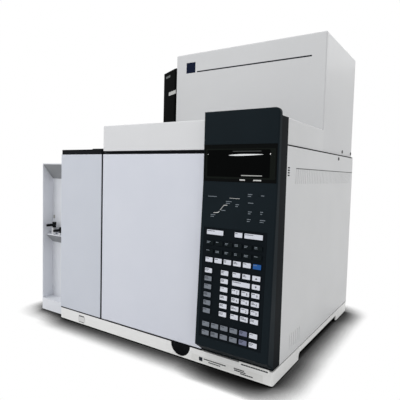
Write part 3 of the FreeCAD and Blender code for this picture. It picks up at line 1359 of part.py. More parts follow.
def make_panel_bezel():
    """Make the bezel: a hollow moulding whose lower face leans out, open for display and keypad."""
    body = new_body("panel_bezel")
    chin_y = BEZEL_FACE - s.bezel_lean
    outer = Path(
        (FRONT - s.panel_chin, s.panel_bottom), (FRONT, s.panel_bottom), (FRONT, s.panel_top),
        (BEZEL_FACE, s.panel_top), (BEZEL_FACE, s.lean_up), (chin_y, s.chin_up),
    )
    add(body, "YZ", PANEL_LEFT, CAB_RIGHT, outer)
    wall = s.bezel_wall
    hollow = Path(
        (chin_y + wall, s.chin_up + wall), (FRONT, s.hollow_low), (FRONT, s.hollow_high),
        (BEZEL_FACE + wall, s.hollow_high), (BEZEL_FACE + wall, s.lean_up),
    )
    cut(body, "YZ", PANEL_LEFT + wall, CAB_RIGHT - wall, hollow)
    soften(body, s.bezel_corner, is_bezel_corner)
    soften(body, s.bezel_round, is_bezel_side)
    gap = s.mat_gap
    left = PANEL_LEFT + s.mat_left
    top = s.lean_up - s.mat_top * UPRIGHT
    low = s.lean_up - (s.mat_top + s.mat_high) * UPRIGHT
    keypad = Rect(left - gap, low - gap, left + s.mat_wide + gap, top + gap)
    cut(body, "XZ", chin_y, FRONT, keypad)
    window = window_rect(0)
    cut(body, "XZ", BEZEL_FACE, BEZEL_FACE + s.window_set + s.window_thick, window)
    cut(body, "XZ", BEZEL_FACE, BEZEL_FACE + wall, screen_rect(0))


def is_bezel_corner(edge):
    """Pick the bezel's upper right corner, which runs from front to back."""
    return lies_at(edge, "X", CAB_RIGHT) and lies_at(edge, "Z", s.panel_top)


def is_bezel_side(edge):
    """Pick the upright edges of the bezel's face."""
    at_side = lies_at(edge, "X", PANEL_LEFT) or lies_at(edge, "X", CAB_RIGHT)
    upright = edge.BoundBox.ZLength > s.bezel_corner.value * 2
    in_front = edge.BoundBox.YMax < FRONT.value - 1
    return at_side and upright and in_front


def window_rect(gap):
    """Return the outline of the display window, made smaller by a gap."""
    side = s.window_side + gap
    top = s.window_low + s.window_high
    return Rect(PANEL_LEFT + side, s.window_low + gap, CAB_RIGHT - side, top - gap)


def screen_rect(gap):
    """Return the outline of the display module, made smaller by a gap."""
    side = s.window_side + s.screen_side + gap
    rim = s.screen_rim + gap
    top = s.window_low + s.window_high
    return Rect(PANEL_LEFT + side, s.window_low + rim, CAB_RIGHT - side, top - rim)


def make_display_unit():
    """Make the display unit: a window plate with the module behind it."""
    body = new_body("display_unit")
    near = BEZEL_FACE + s.window_set
    far = near + s.window_thick
    gap = s.fit_gap
    add(body, "XZ", near, far, window_rect(gap))
    add(body, "XZ", far, far + s.screen_deep, screen_rect(gap))


# Keypad, in its own frame: the leaning face is Y = 0, the lean line Z = 0 and the bezel's left side X = 0
def keypad_body(name):
    """Start a piece of the keypad on the leaning face."""
    body = new_body(name, PANEL_LEFT, BEZEL_FACE, s.lean_up)
    body.Placement.Rotation = FreeCAD.Rotation(FreeCAD.Vector(-1, 0, 0), LEAN_ANGLE.value)
    bind(body, "Placement.Rotation.Angle", LEAN_ANGLE)
    return body


def key_rect(left, row, wide, high, gap=0):
    """Return a key's outline from its left edge and its row below the lean line."""
    return Rect(left - gap, -row - gap, left + wide + gap, high - row + gap)


def column(number):
    """Return the left edge of a key column."""
    return s.key_left + s.key_pitch * number


def loose_keys():
    """Return the keys of their own size or colour: name, left edge, row and width."""
    second_row = s.info_row + s.row_pitch
    return (
        ("key_prepare", column(0), s.start_row, s.wide_key),
        ("key_stop", column(3), s.start_row, s.key_wide),
        ("key_start", column(4), s.start_row, s.wide_key),
        ("key_shift", column(5), s.menu_row, s.key_wide),
        ("key_up", column(5), s.info_row, s.key_wide),
        ("key_enter", column(3), second_row, s.wide_key),
        ("key_down", column(5), second_row, s.key_wide),
    )


def add_key_block(body, left, row, high, columns, rows, row_pitch):
    """Mould a block of like keys onto the keypad: the rows go up from the given one."""
    keys = [key_rect(left, row - row_pitch * number, s.key_wide, high) for number in range(rows)]
    first = add(body, "XZ", -s.key_proud, s.mat_set, *keys)
    if columns > 1:
        repeat(body, "X", s.key_pitch, columns, first)


def make_keypad_mat():
    """Make the rubber keypad with its like keys, open where the loose keys pass."""
    body = keypad_body("keypad_mat")
    left = s.mat_left
    low = -s.mat_top - s.mat_high
    lip = s.mat_lip
    rear = s.bezel_wall + s.run_gap
    add(body, "XZ", s.mat_set, rear, Rect(left, low, left + s.mat_wide, -s.mat_top))
    flange = Rect(left - lip, low - lip, left + s.mat_wide + lip, lip - s.mat_top)
    add(body, "XZ", rear, rear + s.mat_flange, flange)
    lowest_menu = s.info_row + 5 * s.row_pitch
    add_key_block(body, column(0), s.dark_row, s.key_flat, 6, 2, s.dark_pitch)
    add_key_block(body, column(0), s.menu_row, s.key_high, 5, 1, s.row_pitch)
    add_key_block(body, column(0), lowest_menu, s.key_high, 1, 6, s.row_pitch)
    add_key_block(body, s.menu_left, lowest_menu, s.key_high, 1, 6, s.row_pitch)
    add_key_block(body, column(3), s.info_row, s.key_high, 2, 1, s.row_pitch)
    add_key_block(body, column(3), lowest_menu, s.key_high, 3, 4, s.row_pitch)
    add_key_block(body, column(0), s.last_row, s.key_high, 6, 2, s.last_pitch)
    holes = [key_rect(key[1], key[2], key[3], s.key_high, s.fit_gap) for key in loose_keys()]
    cut(body, "XZ", s.mat_set, rear + s.mat_flange, *holes)


def make_loose_keys():
    """Make each key that moves by itself."""
    for name, left, row, wide in loose_keys():
        body = keypad_body(name)
        add(body, "XZ", -s.key_proud, s.key_plunge, key_rect(left, row, wide, s.key_high))


# Electronics bay
def make_main_board():
    """Make the main board on its stand-offs, with its larger parts."""
    body = new_body("main_board")
    face = WEB_RIGHT + s.sheet_thick
    near = FRONT + s.board_front
    far = near + s.board_long
    top = s.board_low + s.board_high
    start = face + s.board_stand
    front = start + s.board_thick
    add(body, "YZ", start, front, Rect(near, s.board_low, far, top))
    inset = s.foot_radius
    corners = [(y, z) for y in (near + inset, far - inset) for z in (s.board_low + inset, top - inset)]
    add(body, "YZ", face, start, *[Disc(y, z, s.leg_radius) for y, z in corners])
    start = near + 3 * inset
    lows = [s.board_low + (3 + 6 * number) * inset for number in range(3)]
    chips = [Rect(start, low, start + 4 * inset, low + 3 * inset) for low in lows]
    first = add(body, "YZ", front, front + s.chip_high, *chips)
    repeat(body, "Y", 6 * inset, 4, first)


def make_power_transformer():
    """Make the transformer: a core with rounded windings at both ends."""
    body = new_body("power_transformer")
    left = WEB_RIGHT + 2 * s.divider_flange
    right = left + s.core_wide
    near = FRONT + s.core_front
    far = near + s.core_deep
    top = BASE_TOP + s.core_high
    out = s.winding_out
    add(body, "XY", BASE_TOP, top, Rect(left, near, right, far))
    bend = s.foot_radius
    winding = Rect(left + out, near - out, right - out, far + out, bend)
    add(body, "XY", BASE_TOP + out, top - out, winding)


def make_blower_frame():
    """Make the blower's square frame with its hub and struts."""
    body = new_body("cooling_fan_frame", BLOWER_X, REAR_INNER, s.blower_up)
    half = s.blower_half
    deep = s.blower_deep
    add(body, "XZ", -deep, 0, Rect(-half, -half, half, half, s.base_corner), Disc(0, 0, s.blower_bore))
    hub_hole = s.rotor_shaft + s.run_gap
    strut = add(body, "XZ", -s.strut_deep, 0, Rect(-s.strut_half, s.rotor_hub - 1, s.strut_half, s.blower_bore + 1))
    around(body, "Y", 3, strut)
    add(body, "XZ", -s.strut_deep, 0, Disc(0, 0, s.rotor_hub))
    cut(body, "XZ", -s.strut_deep, 0, Disc(0, 0, hub_hole))


def make_blower_rotor():
    """Make the blower's rotor with its raked blades."""
    front = REAR_INNER - s.blower_deep
    body = new_body("cooling_fan_rotor", BLOWER_X, front, s.blower_up)
    deep = s.blower_deep - s.strut_deep - s.hinge_gap
    shaft_end = s.blower_deep - s.sheet_thick
    near = s.hinge_gap
    profile = Path(
        (0, near), (s.rotor_hub, near), (s.rotor_hub, deep), (s.rotor_shaft, deep),
        (s.rotor_shaft, shaft_end), (0, shaft_end),
    )
    turn(body, "Y", profile)
    thick = s.fan_plate
    lean = deep / 2
    blade = Path((-lean, near + thick), (thick - lean, near + thick), (lean, deep - thick), (lean - thick, deep - thick))
    first = add(body, "XY", s.rotor_hub - 2 * thick, s.rotor_radius - thick, blade)
    around(body, "Y", s.rotor_blades, first)


def make_power_inlet():
    """Make the mains inlet with its mouth and prongs."""
    body = new_body("power_inlet")
    half_wide = s.socket_wide / 2
    half_high = s.socket_high / 2
    near = BACK - s.socket_deep
    far = BACK + s.socket_rim
    wing = half_wide + s.socket_flange
    up = s.socket_up
    add(body, "XZ", near, BACK, Rect(SOCKET_X - half_wide, up - half_high, SOCKET_X + half_wide, up + half_high))
    flange = Rect(SOCKET_X - wing, up - half_high - 2, SOCKET_X + wing, up + half_high + 2, s.base_corner)
    add(body, "XZ", BACK, far, flange)
    wide = half_wide - s.socket_rim
    high = half_high - s.socket_rim
    mouth = Rect(SOCKET_X - wide, up - high, SOCKET_X + wide, up + high)
    bottom = near + s.socket_rim
    cut(body, "XZ", bottom, far, mouth)
    prong = s.screw_shank / 2
    tall = s.screw_shank
    third = half_wide / 2
    places = ((SOCKET_X - third, up - tall), (SOCKET_X, up + tall), (SOCKET_X + third, up - tall))
    prongs = [Rect(x - prong, z - tall, x + prong, z + tall) for x, z in places]
    add(body, "XZ", bottom, bottom + s.prong_long, *prongs)


# Pneumatics
def gas_places():
    """Return the places across of the three gas fittings."""
    return GAS_X - s.gas_pitch, GAS_X, GAS_X + s.gas_pitch


def make_gas_fittings():
    """Make the three gas fittings in the rear panel."""
    body = new_body("gas_fittings")
    nut_end = BACK + s.nut_long
    tip_end = nut_end + s.tip_long
    places = gas_places()
    add(body, "XZ", REAR_INNER, BACK, *[Disc(x, s.gas_up, s.gas_neck) for x in places])
    add(body, "XZ", BACK, nut_end, *[hexagon(x, s.gas_up, s.gas_nut) for x in places])
    add(body, "XZ", nut_end, tip_end, *[Disc(x, s.gas_up, s.gas_tip) for x in places])
    cut(body, "XZ", BACK, tip_end, *[Disc(x, s.gas_up, s.gas_bore) for x in places])


def hexagon(across, up, radius):
    """Return a regular hexagon round a centre."""
    half = radius / 2
    flat = radius * (math.sqrt(3) / 2)
    return Path(
        (across + radius, up), (across + half, up + flat), (across - half, up + flat),
        (across - radius, up), (across - half, up - flat), (across + half, up - flat),
    )


def make_pneumatics_module():
    """Make the pneumatics module behind the rear panel: a manifold with its proportional valves."""
    body = new_body("pneumatics_module")
    half = s.module_wide / 2
    low = s.gas_up - s.module_high / 2
    near = REAR_INNER - s.module_deep
    add(body, "XZ", near, REAR_INNER, Rect(GAS_X - half, low, GAS_X + half, low + s.module_high))
    upper = s.gas_up + s.module_high / 4
    valves = [Disc(x, upper, s.module_valve) for x in gas_places()]
    add(body, "XZ", near - s.valve_long, near, *valves)


# Valve oven
def make_valve_oven_cover():
    """Make the tall cover of the auxiliary valve oven, open below, with vents in its back."""
    body = new_body("valve_oven_cover")
    thick = s.sheet_thick
    near = FRONT + s.box_front
    add(body, "XY", DECK_TOP, s.box_top, Rect(BOX_LEFT, near, BOX_RIGHT, BACK))
    inside = Rect(BOX_LEFT + thick, near + thick, BOX_RIGHT - thick, BACK - thick)
    cut(body, "XY", DECK_TOP, s.box_top - thick, inside)
    soften(body, s.box_round, is_box_edge)
    middle = (BOX_LEFT + BOX_RIGHT) / 2
    half = s.slot_wide / 2
    slot = Rect(middle - half, s.slot_low, middle + half, s.slot_low + s.slot_high)
    first = cut(body, "XZ", BACK - thick, BACK, slot)
    repeat(body, "Z", s.slot_pitch, s.box_slots, first)
    hole = s.screw_shank + s.run_gap
    screws = [Disc(FRONT + back, s.box_screw_up, hole) for back in (s.box_screw_back, s.box_screw_last)]
    cut(body, "YZ", BOX_RIGHT - thick, BOX_RIGHT, *screws)


def is_box_edge(edge):
    """Pick the outer top edges and the outer upright edges of the valve oven's cover."""
    near = FRONT + s.box_front
    at_top = lies_at(edge, "Z", s.box_top)
    at_side = lies_at(edge, "X", BOX_LEFT) or lies_at(edge, "X", BOX_RIGHT)
    at_end = lies_at(edge, "Y", near) or lies_at(edge, "Y", BACK)
    return at_top or (at_side and at_end)


def make_valve_oven_box():
    """Make the insulated, heated box that stands on the deck under the valve oven's cover."""
    body = new_body("valve_oven_box")
    left = (BOX_LEFT + BOX_RIGHT) / 2 - s.inner_wide / 2
    right = left + s.inner_wide
    near = FRONT + s.inner_front
    far = near + s.inner_deep
    top = DECK_TOP + s.inner_high
    lip = s.fan_plate
    bend = s.cavity_round
    add(body, "XY", DECK_TOP, top - s.inner_lid, Rect(left + lip, near + lip, right - lip, far - lip, bend))
    add(body, "XY", top - s.inner_lid, top, Rect(left, near, right, far, bend))


def make_sample_valve():
    """Make the rotary sample valve with its ports and actuator, on the heated box."""
    across = (BOX_LEFT + BOX_RIGHT) / 2
    back = FRONT + s.inner_front + s.inner_deep / 2
    body = new_body("sample_valve", across, back, DECK_TOP + s.inner_high)
    half = s.actuator_half
    top = s.valve_high + s.actuator_high
    turn(body, "Z", Rect(0, 0, s.valve_radius, s.valve_high))
    reach = s.valve_radius + s.port_long
    port = add(body, "YZ", 0, reach, Disc(0, s.valve_high / 2, s.port_radius))
    around(body, "Z", 6, port)
    add(body, "XY", s.valve_high, top, Rect(-half, -half, half, half, s.base_corner))


# Sampler tower
def prow(inset=0):
    """Return the three joints of the tower's front, from left to right, moved inwards by an inset."""
    inset = length(inset)
    steep = sine(s.prow_angle) / cosine(s.prow_angle)
    radius = s.prow_half / sine(s.prow_angle) - inset
    half = radius * sine(s.prow_angle)
    edge = FRONT + s.tower_chord + inset / cosine(s.prow_angle)
    shoulder = edge - steep * inset
    tip = edge - steep * (s.tower_wide / 2 - half)
    left = (TOWER_LEFT + inset, shoulder)
    right = (TOWER_RIGHT - inset, shoulder)
    return left, (TOWER_X - half, tip), (TOWER_X + half, tip), right, radius


def tower_outline():
    """Return the tower's plan: a front like a rounded prow, straight sides and a straight back."""
    left, near_left, near_right, right, radius = prow()
    rear = FRONT + s.tower_stop
    return Path(left, (*near_left, radius), near_right, right, (TOWER_RIGHT, rear), (TOWER_LEFT, rear))


def make_tower_housing():
    """Make the tower's housing: base plate, back and sides, top plate and two guide rails."""
    body = new_body("tower_housing")
    wall = s.tower_wall
    near = FRONT + s.tower_start
    far = FRONT + s.tower_stop
    rear = FRONT + s.rail_front
    add(body, "XY", CAP_TOP, TOWER_FLOOR, tower_outline())
    add(body, "XY", TOWER_ROOF, s.tower_top, tower_outline())
    shell = Path(
        (TOWER_LEFT, near), (TOWER_LEFT + wall, near), (TOWER_LEFT + wall, far - wall),
        (TOWER_RIGHT - wall, far - wall), (TOWER_RIGHT - wall, near), (TOWER_RIGHT, near),
        (TOWER_RIGHT, far), (TOWER_LEFT, far),
    )
    add(body, "XY", TOWER_FLOOR, TOWER_ROOF, shell)
    rails = [Disc(x, rear, s.rail_radius) for x in rail_places()]
    add(body, "XY", TOWER_FLOOR, TOWER_ROOF, *rails)
    seat = Disc(TOWER_X, FRONT + s.turret_front, s.turret_post + s.run_gap)
    cut(body, "XY", TOWER_FLOOR - s.post_seat, TOWER_FLOOR, seat)
    peg = Disc(*door_peg(), s.peg_radius + s.run_gap)
    deep = s.peg_long + s.fit_gap
    cut(body, "XY", TOWER_FLOOR - deep, TOWER_FLOOR, peg)
    cut(body, "XY", TOWER_ROOF, TOWER_ROOF + deep, peg)


def rail_places():
    """Return the places across of the tower's guide rails."""
    return TOWER_X - s.rail_half, TOWER_X + s.rail_half


def door_peg():
    """Return the place of the tower door's axis."""
    half = s.tower_wall / 2
    return TOWER_LEFT + half, FRONT + s.tower_start - s.hinge_gap - half


def make_tower_door():
    """Make the tower's front door, which turns on two pegs at its left edge."""
    body = new_body("tower_door")
    wall = s.tower_wall
    low = TOWER_FLOOR + s.fit_gap
    high = TOWER_ROOF - s.fit_gap
    peg_x, peg_y = door_peg()
    half = wall / 2
    end = peg_y + half
    left, near_left, near_right, right, radius = prow()
    inner_left, inner_near_left, inner_near_right, inner_right, inner_radius = prow(wall)
    outline = Path(
        left, (*near_left, radius), near_right, right, (TOWER_RIGHT, end), (TOWER_RIGHT - wall, end),
        inner_right, (*inner_near_right, -inner_radius), inner_near_left, inner_left,
        (TOWER_LEFT + wall, peg_y, half), (peg_x, end, half), (TOWER_LEFT, peg_y),
    )
    add(body, "XY", low, high, outline)
    add(body, "XY", low - s.peg_long, low, Disc(peg_x, peg_y, s.peg_radius))
    add(body, "XY", high, high + s.peg_long, Disc(peg_x, peg_y, s.peg_radius))


def make_vial_turret():
    """Make the turret with its ring of vials."""
    body = new_body("vial_turret", TOWER_X, FRONT + s.turret_front, TOWER_FLOOR)
    top = s.turret_up + s.turret_thick
    profile = Path(
        (0, s.fit_gap - s.post_seat), (s.turret_post, s.fit_gap - s.post_seat), (s.turret_post, s.turret_up),
        (s.turret_radius, s.turret_up), (s.turret_radius, top), (0, top),
    )
    turn(body, "Z", profile)
    vial = add(body, "XY", top, top + s.vial_high, Disc(0, s.vial_ring, s.vial_radius))
    around(body, "Z", s.vials, vial)


def make_syringe_carriage():
    """Make the carriage on its rails with the syringe over the turret."""
    body = new_body("syringe_carriage")
    rear = FRONT + s.rail_front
    half = s.carriage_half
    deep = s.carriage_deep / 2
    low = s.carriage_up
    high = low + s.carriage_high
    add(body, "XY", low, high, Rect(TOWER_X - half, rear - deep, TOWER_X + half, rear + deep / 2, s.base_corner))
    bores = [Disc(x, rear, s.rail_radius + s.run_gap) for x in rail_places()]
    cut(body, "XY", low, high, *bores)
    barrel_y = FRONT + s.turret_front + s.vial_ring
    tip = low - s.syringe_long
    wall = s.tower_wall
    nose = Rect(TOWER_X - 2 * wall, barrel_y - 2 * wall, TOWER_X + 2 * wall, rear - deep + s.base_corner)
    add(body, "XY", low, high, nose)
    add(body, "XY", tip, low, Disc(TOWER_X, barrel_y, s.syringe_radius))
    add(body, "XY", tip - s.needle_long, tip, Disc(TOWER_X, barrel_y, s.needle_radius))


# Side utility box
def make_side_carrier():
    """Make the utility box: a folded box with a recess in front, a bay behind and a shelf."""
    body = new_body("side_carrier")
    wall = s.carrier_wall
    near = FRONT + s.carrier_front
    far = near + s.carrier_deep
    low = s.feet_high
    floor = low + s.carrier_floor
    add(body, "XZ", near, far, Rect(LEFT, low, CAB_LEFT, s.carrier_top))
    ceiling = s.carrier_top - wall
    deep = near + s.carrier_recess
    recess = Path((near, floor), (deep, floor), (deep, ceiling - s.hood_drop), (near, ceiling))
    cut(body, "YZ", LEFT + wall, CAB_LEFT - wall, recess)
    bay = Path(
        (deep + wall, floor), (far, floor), (far, ceiling), (near + wall, ceiling),
        (deep + wall, ceiling - s.hood_drop),
    )
    cut(body, "YZ", LEFT + wall, CAB_LEFT - wall, bay)
    shelf_near = near + s.shelf_front
    top = s.shelf_top
    shelf = Path((shelf_near, top - wall), (deep, top - s.shelf_drop), (deep, top), (shelf_near, top))
    add(body, "YZ", LEFT + wall, CAB_LEFT - wall, shelf)
    foot = Rect(LEFT, near, CAB_LEFT, far)
    add(body, "XY", 0, low, foot)


def valve_places():
    """Return the places across and the body heights of the two shut-off valves."""
    return ((LEFT + s.upper_across, s.upper_body), (LEFT + s.lower_across, s.lower_body))


def make_shutoff_valves():
    """Make the bodies and stems of the two shut-off valves on the shelf."""
    body = new_body("shutoff_valves")
    back = FRONT + s.carrier_front + s.valve_front
    for across, high in valve_places():
        top = s.shelf_top + high
        add(body, "XY", s.shelf_top, top, hexagon(across, back, s.shutoff_radius))
        add(body, "XY", top, top + s.stem_high, Disc(across, back, s.stem_radius))


def make_valve_handles():
    """Make the two lever handles on the valves' stems."""
    back = FRONT + s.carrier_front + s.valve_front
    for name, (across, high) in zip(("valve_handle_tall", "valve_handle_short"), valve_places()):
        body = new_body(name, across, back, s.shelf_top + high + s.fit_gap)
        turn(body, "Z", Rect(0, 0, s.hub_radius, s.hub_high))
        lever = Rect(-s.lever_half, -s.lever_long, s.lever_half, 0, s.lever_half - s.fit_gap)
        add(body, "XY", s.lever_low, s.lever_low + s.lever_high, lever)
        cut(body, "XY", 0, s.stem_high, Disc(0, 0, s.stem_radius + s.run_gap))


# Checks and output
def check_document():
    """Stop when a feature failed, a cut removed nothing or a sub-part has no valid solid."""
    for item in doc.Objects:
        if "Invalid" in item.State or "Error" in item.State:
            raise RuntimeError(f"{item.Name} ({item.TypeId}) is {item.State}")
        if item.TypeId == "PartDesign::Pocket":
            before = item.BaseFeature.Shape.Volume
            if item.Shape.Volume > before - SMALL:
                raise RuntimeError(f"{item.Name} cuts nothing")
    for body in bodies:
        shape = body.Shape
        if shape.isNull() or not shape.isValid() or not shape.Solids:
            raise RuntimeError(f"{body.Label} has no valid solid")


def write_parts():
    """Write every sub-part to its own STEP file."""
    os.makedirs("parts", exist_ok=True)
    for body in bodies:
        body.Shape.exportStep(os.path.join("parts", f"{body.Label}.step"))
    print(len(bodies), "sub-parts,", sum(len(body.Shape.Solids) for body in bodies), "solids")


def make_cabinet():
    """Make the cabinet with its base, panels and covers."""
    make_base_frame()
    make_feet()
    make_power_button()
    make_door_latch()
    make_bay_dividers()
    make_left_side_panel()
    make_right_side_panel()
    make_rear_panel()
    make_left_front_panel()
    make_left_bay_cap()
    make_top_deck()
    make_hinge_rod()
    make_inlet_cover()
    make_electronics_cover()
    make_cover_screws()


def make_oven():
    """Make the oven with its door and what it holds."""
    make_oven_insulation()
    make_oven_liner()
    make_oven_heater()
    make_oven_fan()
    make_fan_shroud()
    make_fan_motor()
    make_capillary_column()
    make_column_hanger()
    make_inlets()
    make_detectors()
    make_oven_door()
    make_door_liner()
    make_door_seal()
    make_hinge_pins()
    make_exhaust_duct()
    make_vent_flap()


def make_control_panel():
    """Make the control panel."""
    make_panel_housing()
    make_panel_bezel()
    make_display_unit()
    make_keypad_mat()
    make_loose_keys()


def make_services():
    """Make electronics and pneumatics."""
    make_main_board()
    make_power_transformer()
    make_blower_frame()
    make_blower_rotor()
    make_power_inlet()
    make_gas_fittings()
    make_pneumatics_module()


def make_attachments():
    """Make the valve oven, the sampler tower and the side utility box."""
    make_valve_oven_cover()
    make_valve_oven_box()
    make_sample_valve()
    make_tower_housing()
    make_tower_door()
    make_vial_turret()
    make_syringe_carriage()
    make_side_carrier()
    make_shutoff_valves()
    make_valve_handles()


def main():
    """Build the instrument, check it and write it."""
    make_cabinet()
    make_oven()
    make_control_panel()
    make_services()
    make_attachments()
    doc.recompute()
    check_document()
    write_parts()


main()
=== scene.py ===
"""Looks of the bench gas chromatograph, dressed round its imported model.

The frame is the model's own: X to the right, Y to the back, Z up, in metres, with the origin on the bench
under the middle of the instrument. Sizes below are in millimetres and are turned to metres by MM.
FRONT is the door's face, RIGHT the cabinet's right side and PANEL_LEFT the control panel's left edge. A print
starts at SUNK or at DEEP, just under the surface that carries it, and ends above it.
"""

from __future__ import annotations

import logging
import math
from dataclasses import dataclass, replace
from enum import Enum
from typing import Any, Sequence

import bmesh
import bpy
import numpy as np
from mathutils import Matrix, Vector


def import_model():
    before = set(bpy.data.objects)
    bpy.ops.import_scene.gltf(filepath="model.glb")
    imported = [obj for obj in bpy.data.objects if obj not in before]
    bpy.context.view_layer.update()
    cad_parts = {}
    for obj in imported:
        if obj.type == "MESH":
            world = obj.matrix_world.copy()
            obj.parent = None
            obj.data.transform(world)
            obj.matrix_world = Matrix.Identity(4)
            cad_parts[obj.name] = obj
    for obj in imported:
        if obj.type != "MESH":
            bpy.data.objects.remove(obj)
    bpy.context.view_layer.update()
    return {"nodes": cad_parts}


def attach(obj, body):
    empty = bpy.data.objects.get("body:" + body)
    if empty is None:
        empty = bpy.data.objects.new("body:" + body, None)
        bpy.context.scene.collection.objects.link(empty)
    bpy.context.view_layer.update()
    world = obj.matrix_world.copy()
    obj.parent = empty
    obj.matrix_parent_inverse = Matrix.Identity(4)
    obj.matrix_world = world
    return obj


MM = 0.001
LOG = logging.getLogger("gas_chromatograph")
FRONT = -255.0
RIGHT = 340.0
PANEL_LEFT = 189.0
CABINET = "cabinet"
SUNK = -0.05
DEEP = -0.1
PRINT_TOP = 0.08

Tree = bpy.types.NodeTree
Socket = bpy.types.NodeSocket
Triple = tuple[float, float, float]
Rows = tuple[tuple[float, ...], ...]


# Colours, nodes and finishes
def linear(colour: str) -> tuple[float, float, float, float]:
    """Turn an sRGB colour to linear light.

    Args:
        colour: The colour as #rrggbb.

    Returns:
        Its red, green, blue and alpha.
    """
    parts = np.array([int(colour[i:i + 2], 16) for i in (1, 3, 5)]) / 255.0
    light = np.where(parts <= 0.04045, parts / 12.92, ((parts + 0.055) / 1.055) ** 2.4)
    return (float(light[0]), float(light[1]), float(light[2]), 1.0)


def add_node(tree: Tree, kind: str, values: dict[Any, Any] | None = None,
             links: dict[Any, Socket] | None = None, **settings: Any) -> bpy.types.Node:
    """Add a node with its settings, socket values and incoming links.

    Args:
        tree: The node tree.
        kind: The node's type name after ShaderNode.
        values: Socket name or number to its value.
        links: Socket name or number to the output that feeds it.
        settings: The node's own properties.

    Returns:
        The new node.
    """
    node = tree.nodes.new("ShaderNode" + kind)
    for name, value in settings.items():
        setattr(node, name, value)
    for name, value in (values or {}).items():
        node.inputs[name].default_value = value
    for name, source in (links or {}).items():
        tree.links.new(source, node.inputs[name])
    return node


class Texture(Enum):
    """How a surface was made, which sets the shape of its fine relief."""

    ORANGE_PEEL = "sprayed and baked paint"
    MOULDED = "grained mould"
    BRUSHED = "brushed or drawn metal"
    SPANGLED = "zinc crystals"
    FIBROUS = "pressed fibre"
    WOUND = "turns side by side"
    ETCHED = "tracks of a circuit board"
    POLISHED = "smooth, with faint wiping marks"


# Textures whose second colour follows the grain, how fine each noise is, and the sockets of the colour mixer
COLOURED_GRAINS = (Texture.BRUSHED, Texture.SPANGLED, Texture.FIBROUS, Texture.WOUND, Texture.ETCHED)
NOISE_DETAIL = {Texture.ORANGE_PEEL: 1.0, Texture.POLISHED: 1.0, Texture.MOULDED: 3.0}
ROUGH_DETAIL = 5.0
CLOUD_DETAIL = 3.0
TURN_BANDS = 1.57 / math.pi
MIX_FIRST, MIX_SECOND, MIX_RESULT = 6, 7, 2
TRACKS = {
    "Scale": 1.0, "Mortar Size": 0.06, "Color1": (1, 1, 1, 1), "Color2": (0.8, 0.8, 0.8, 1),
    "Mortar": (0, 0, 0, 1),
}


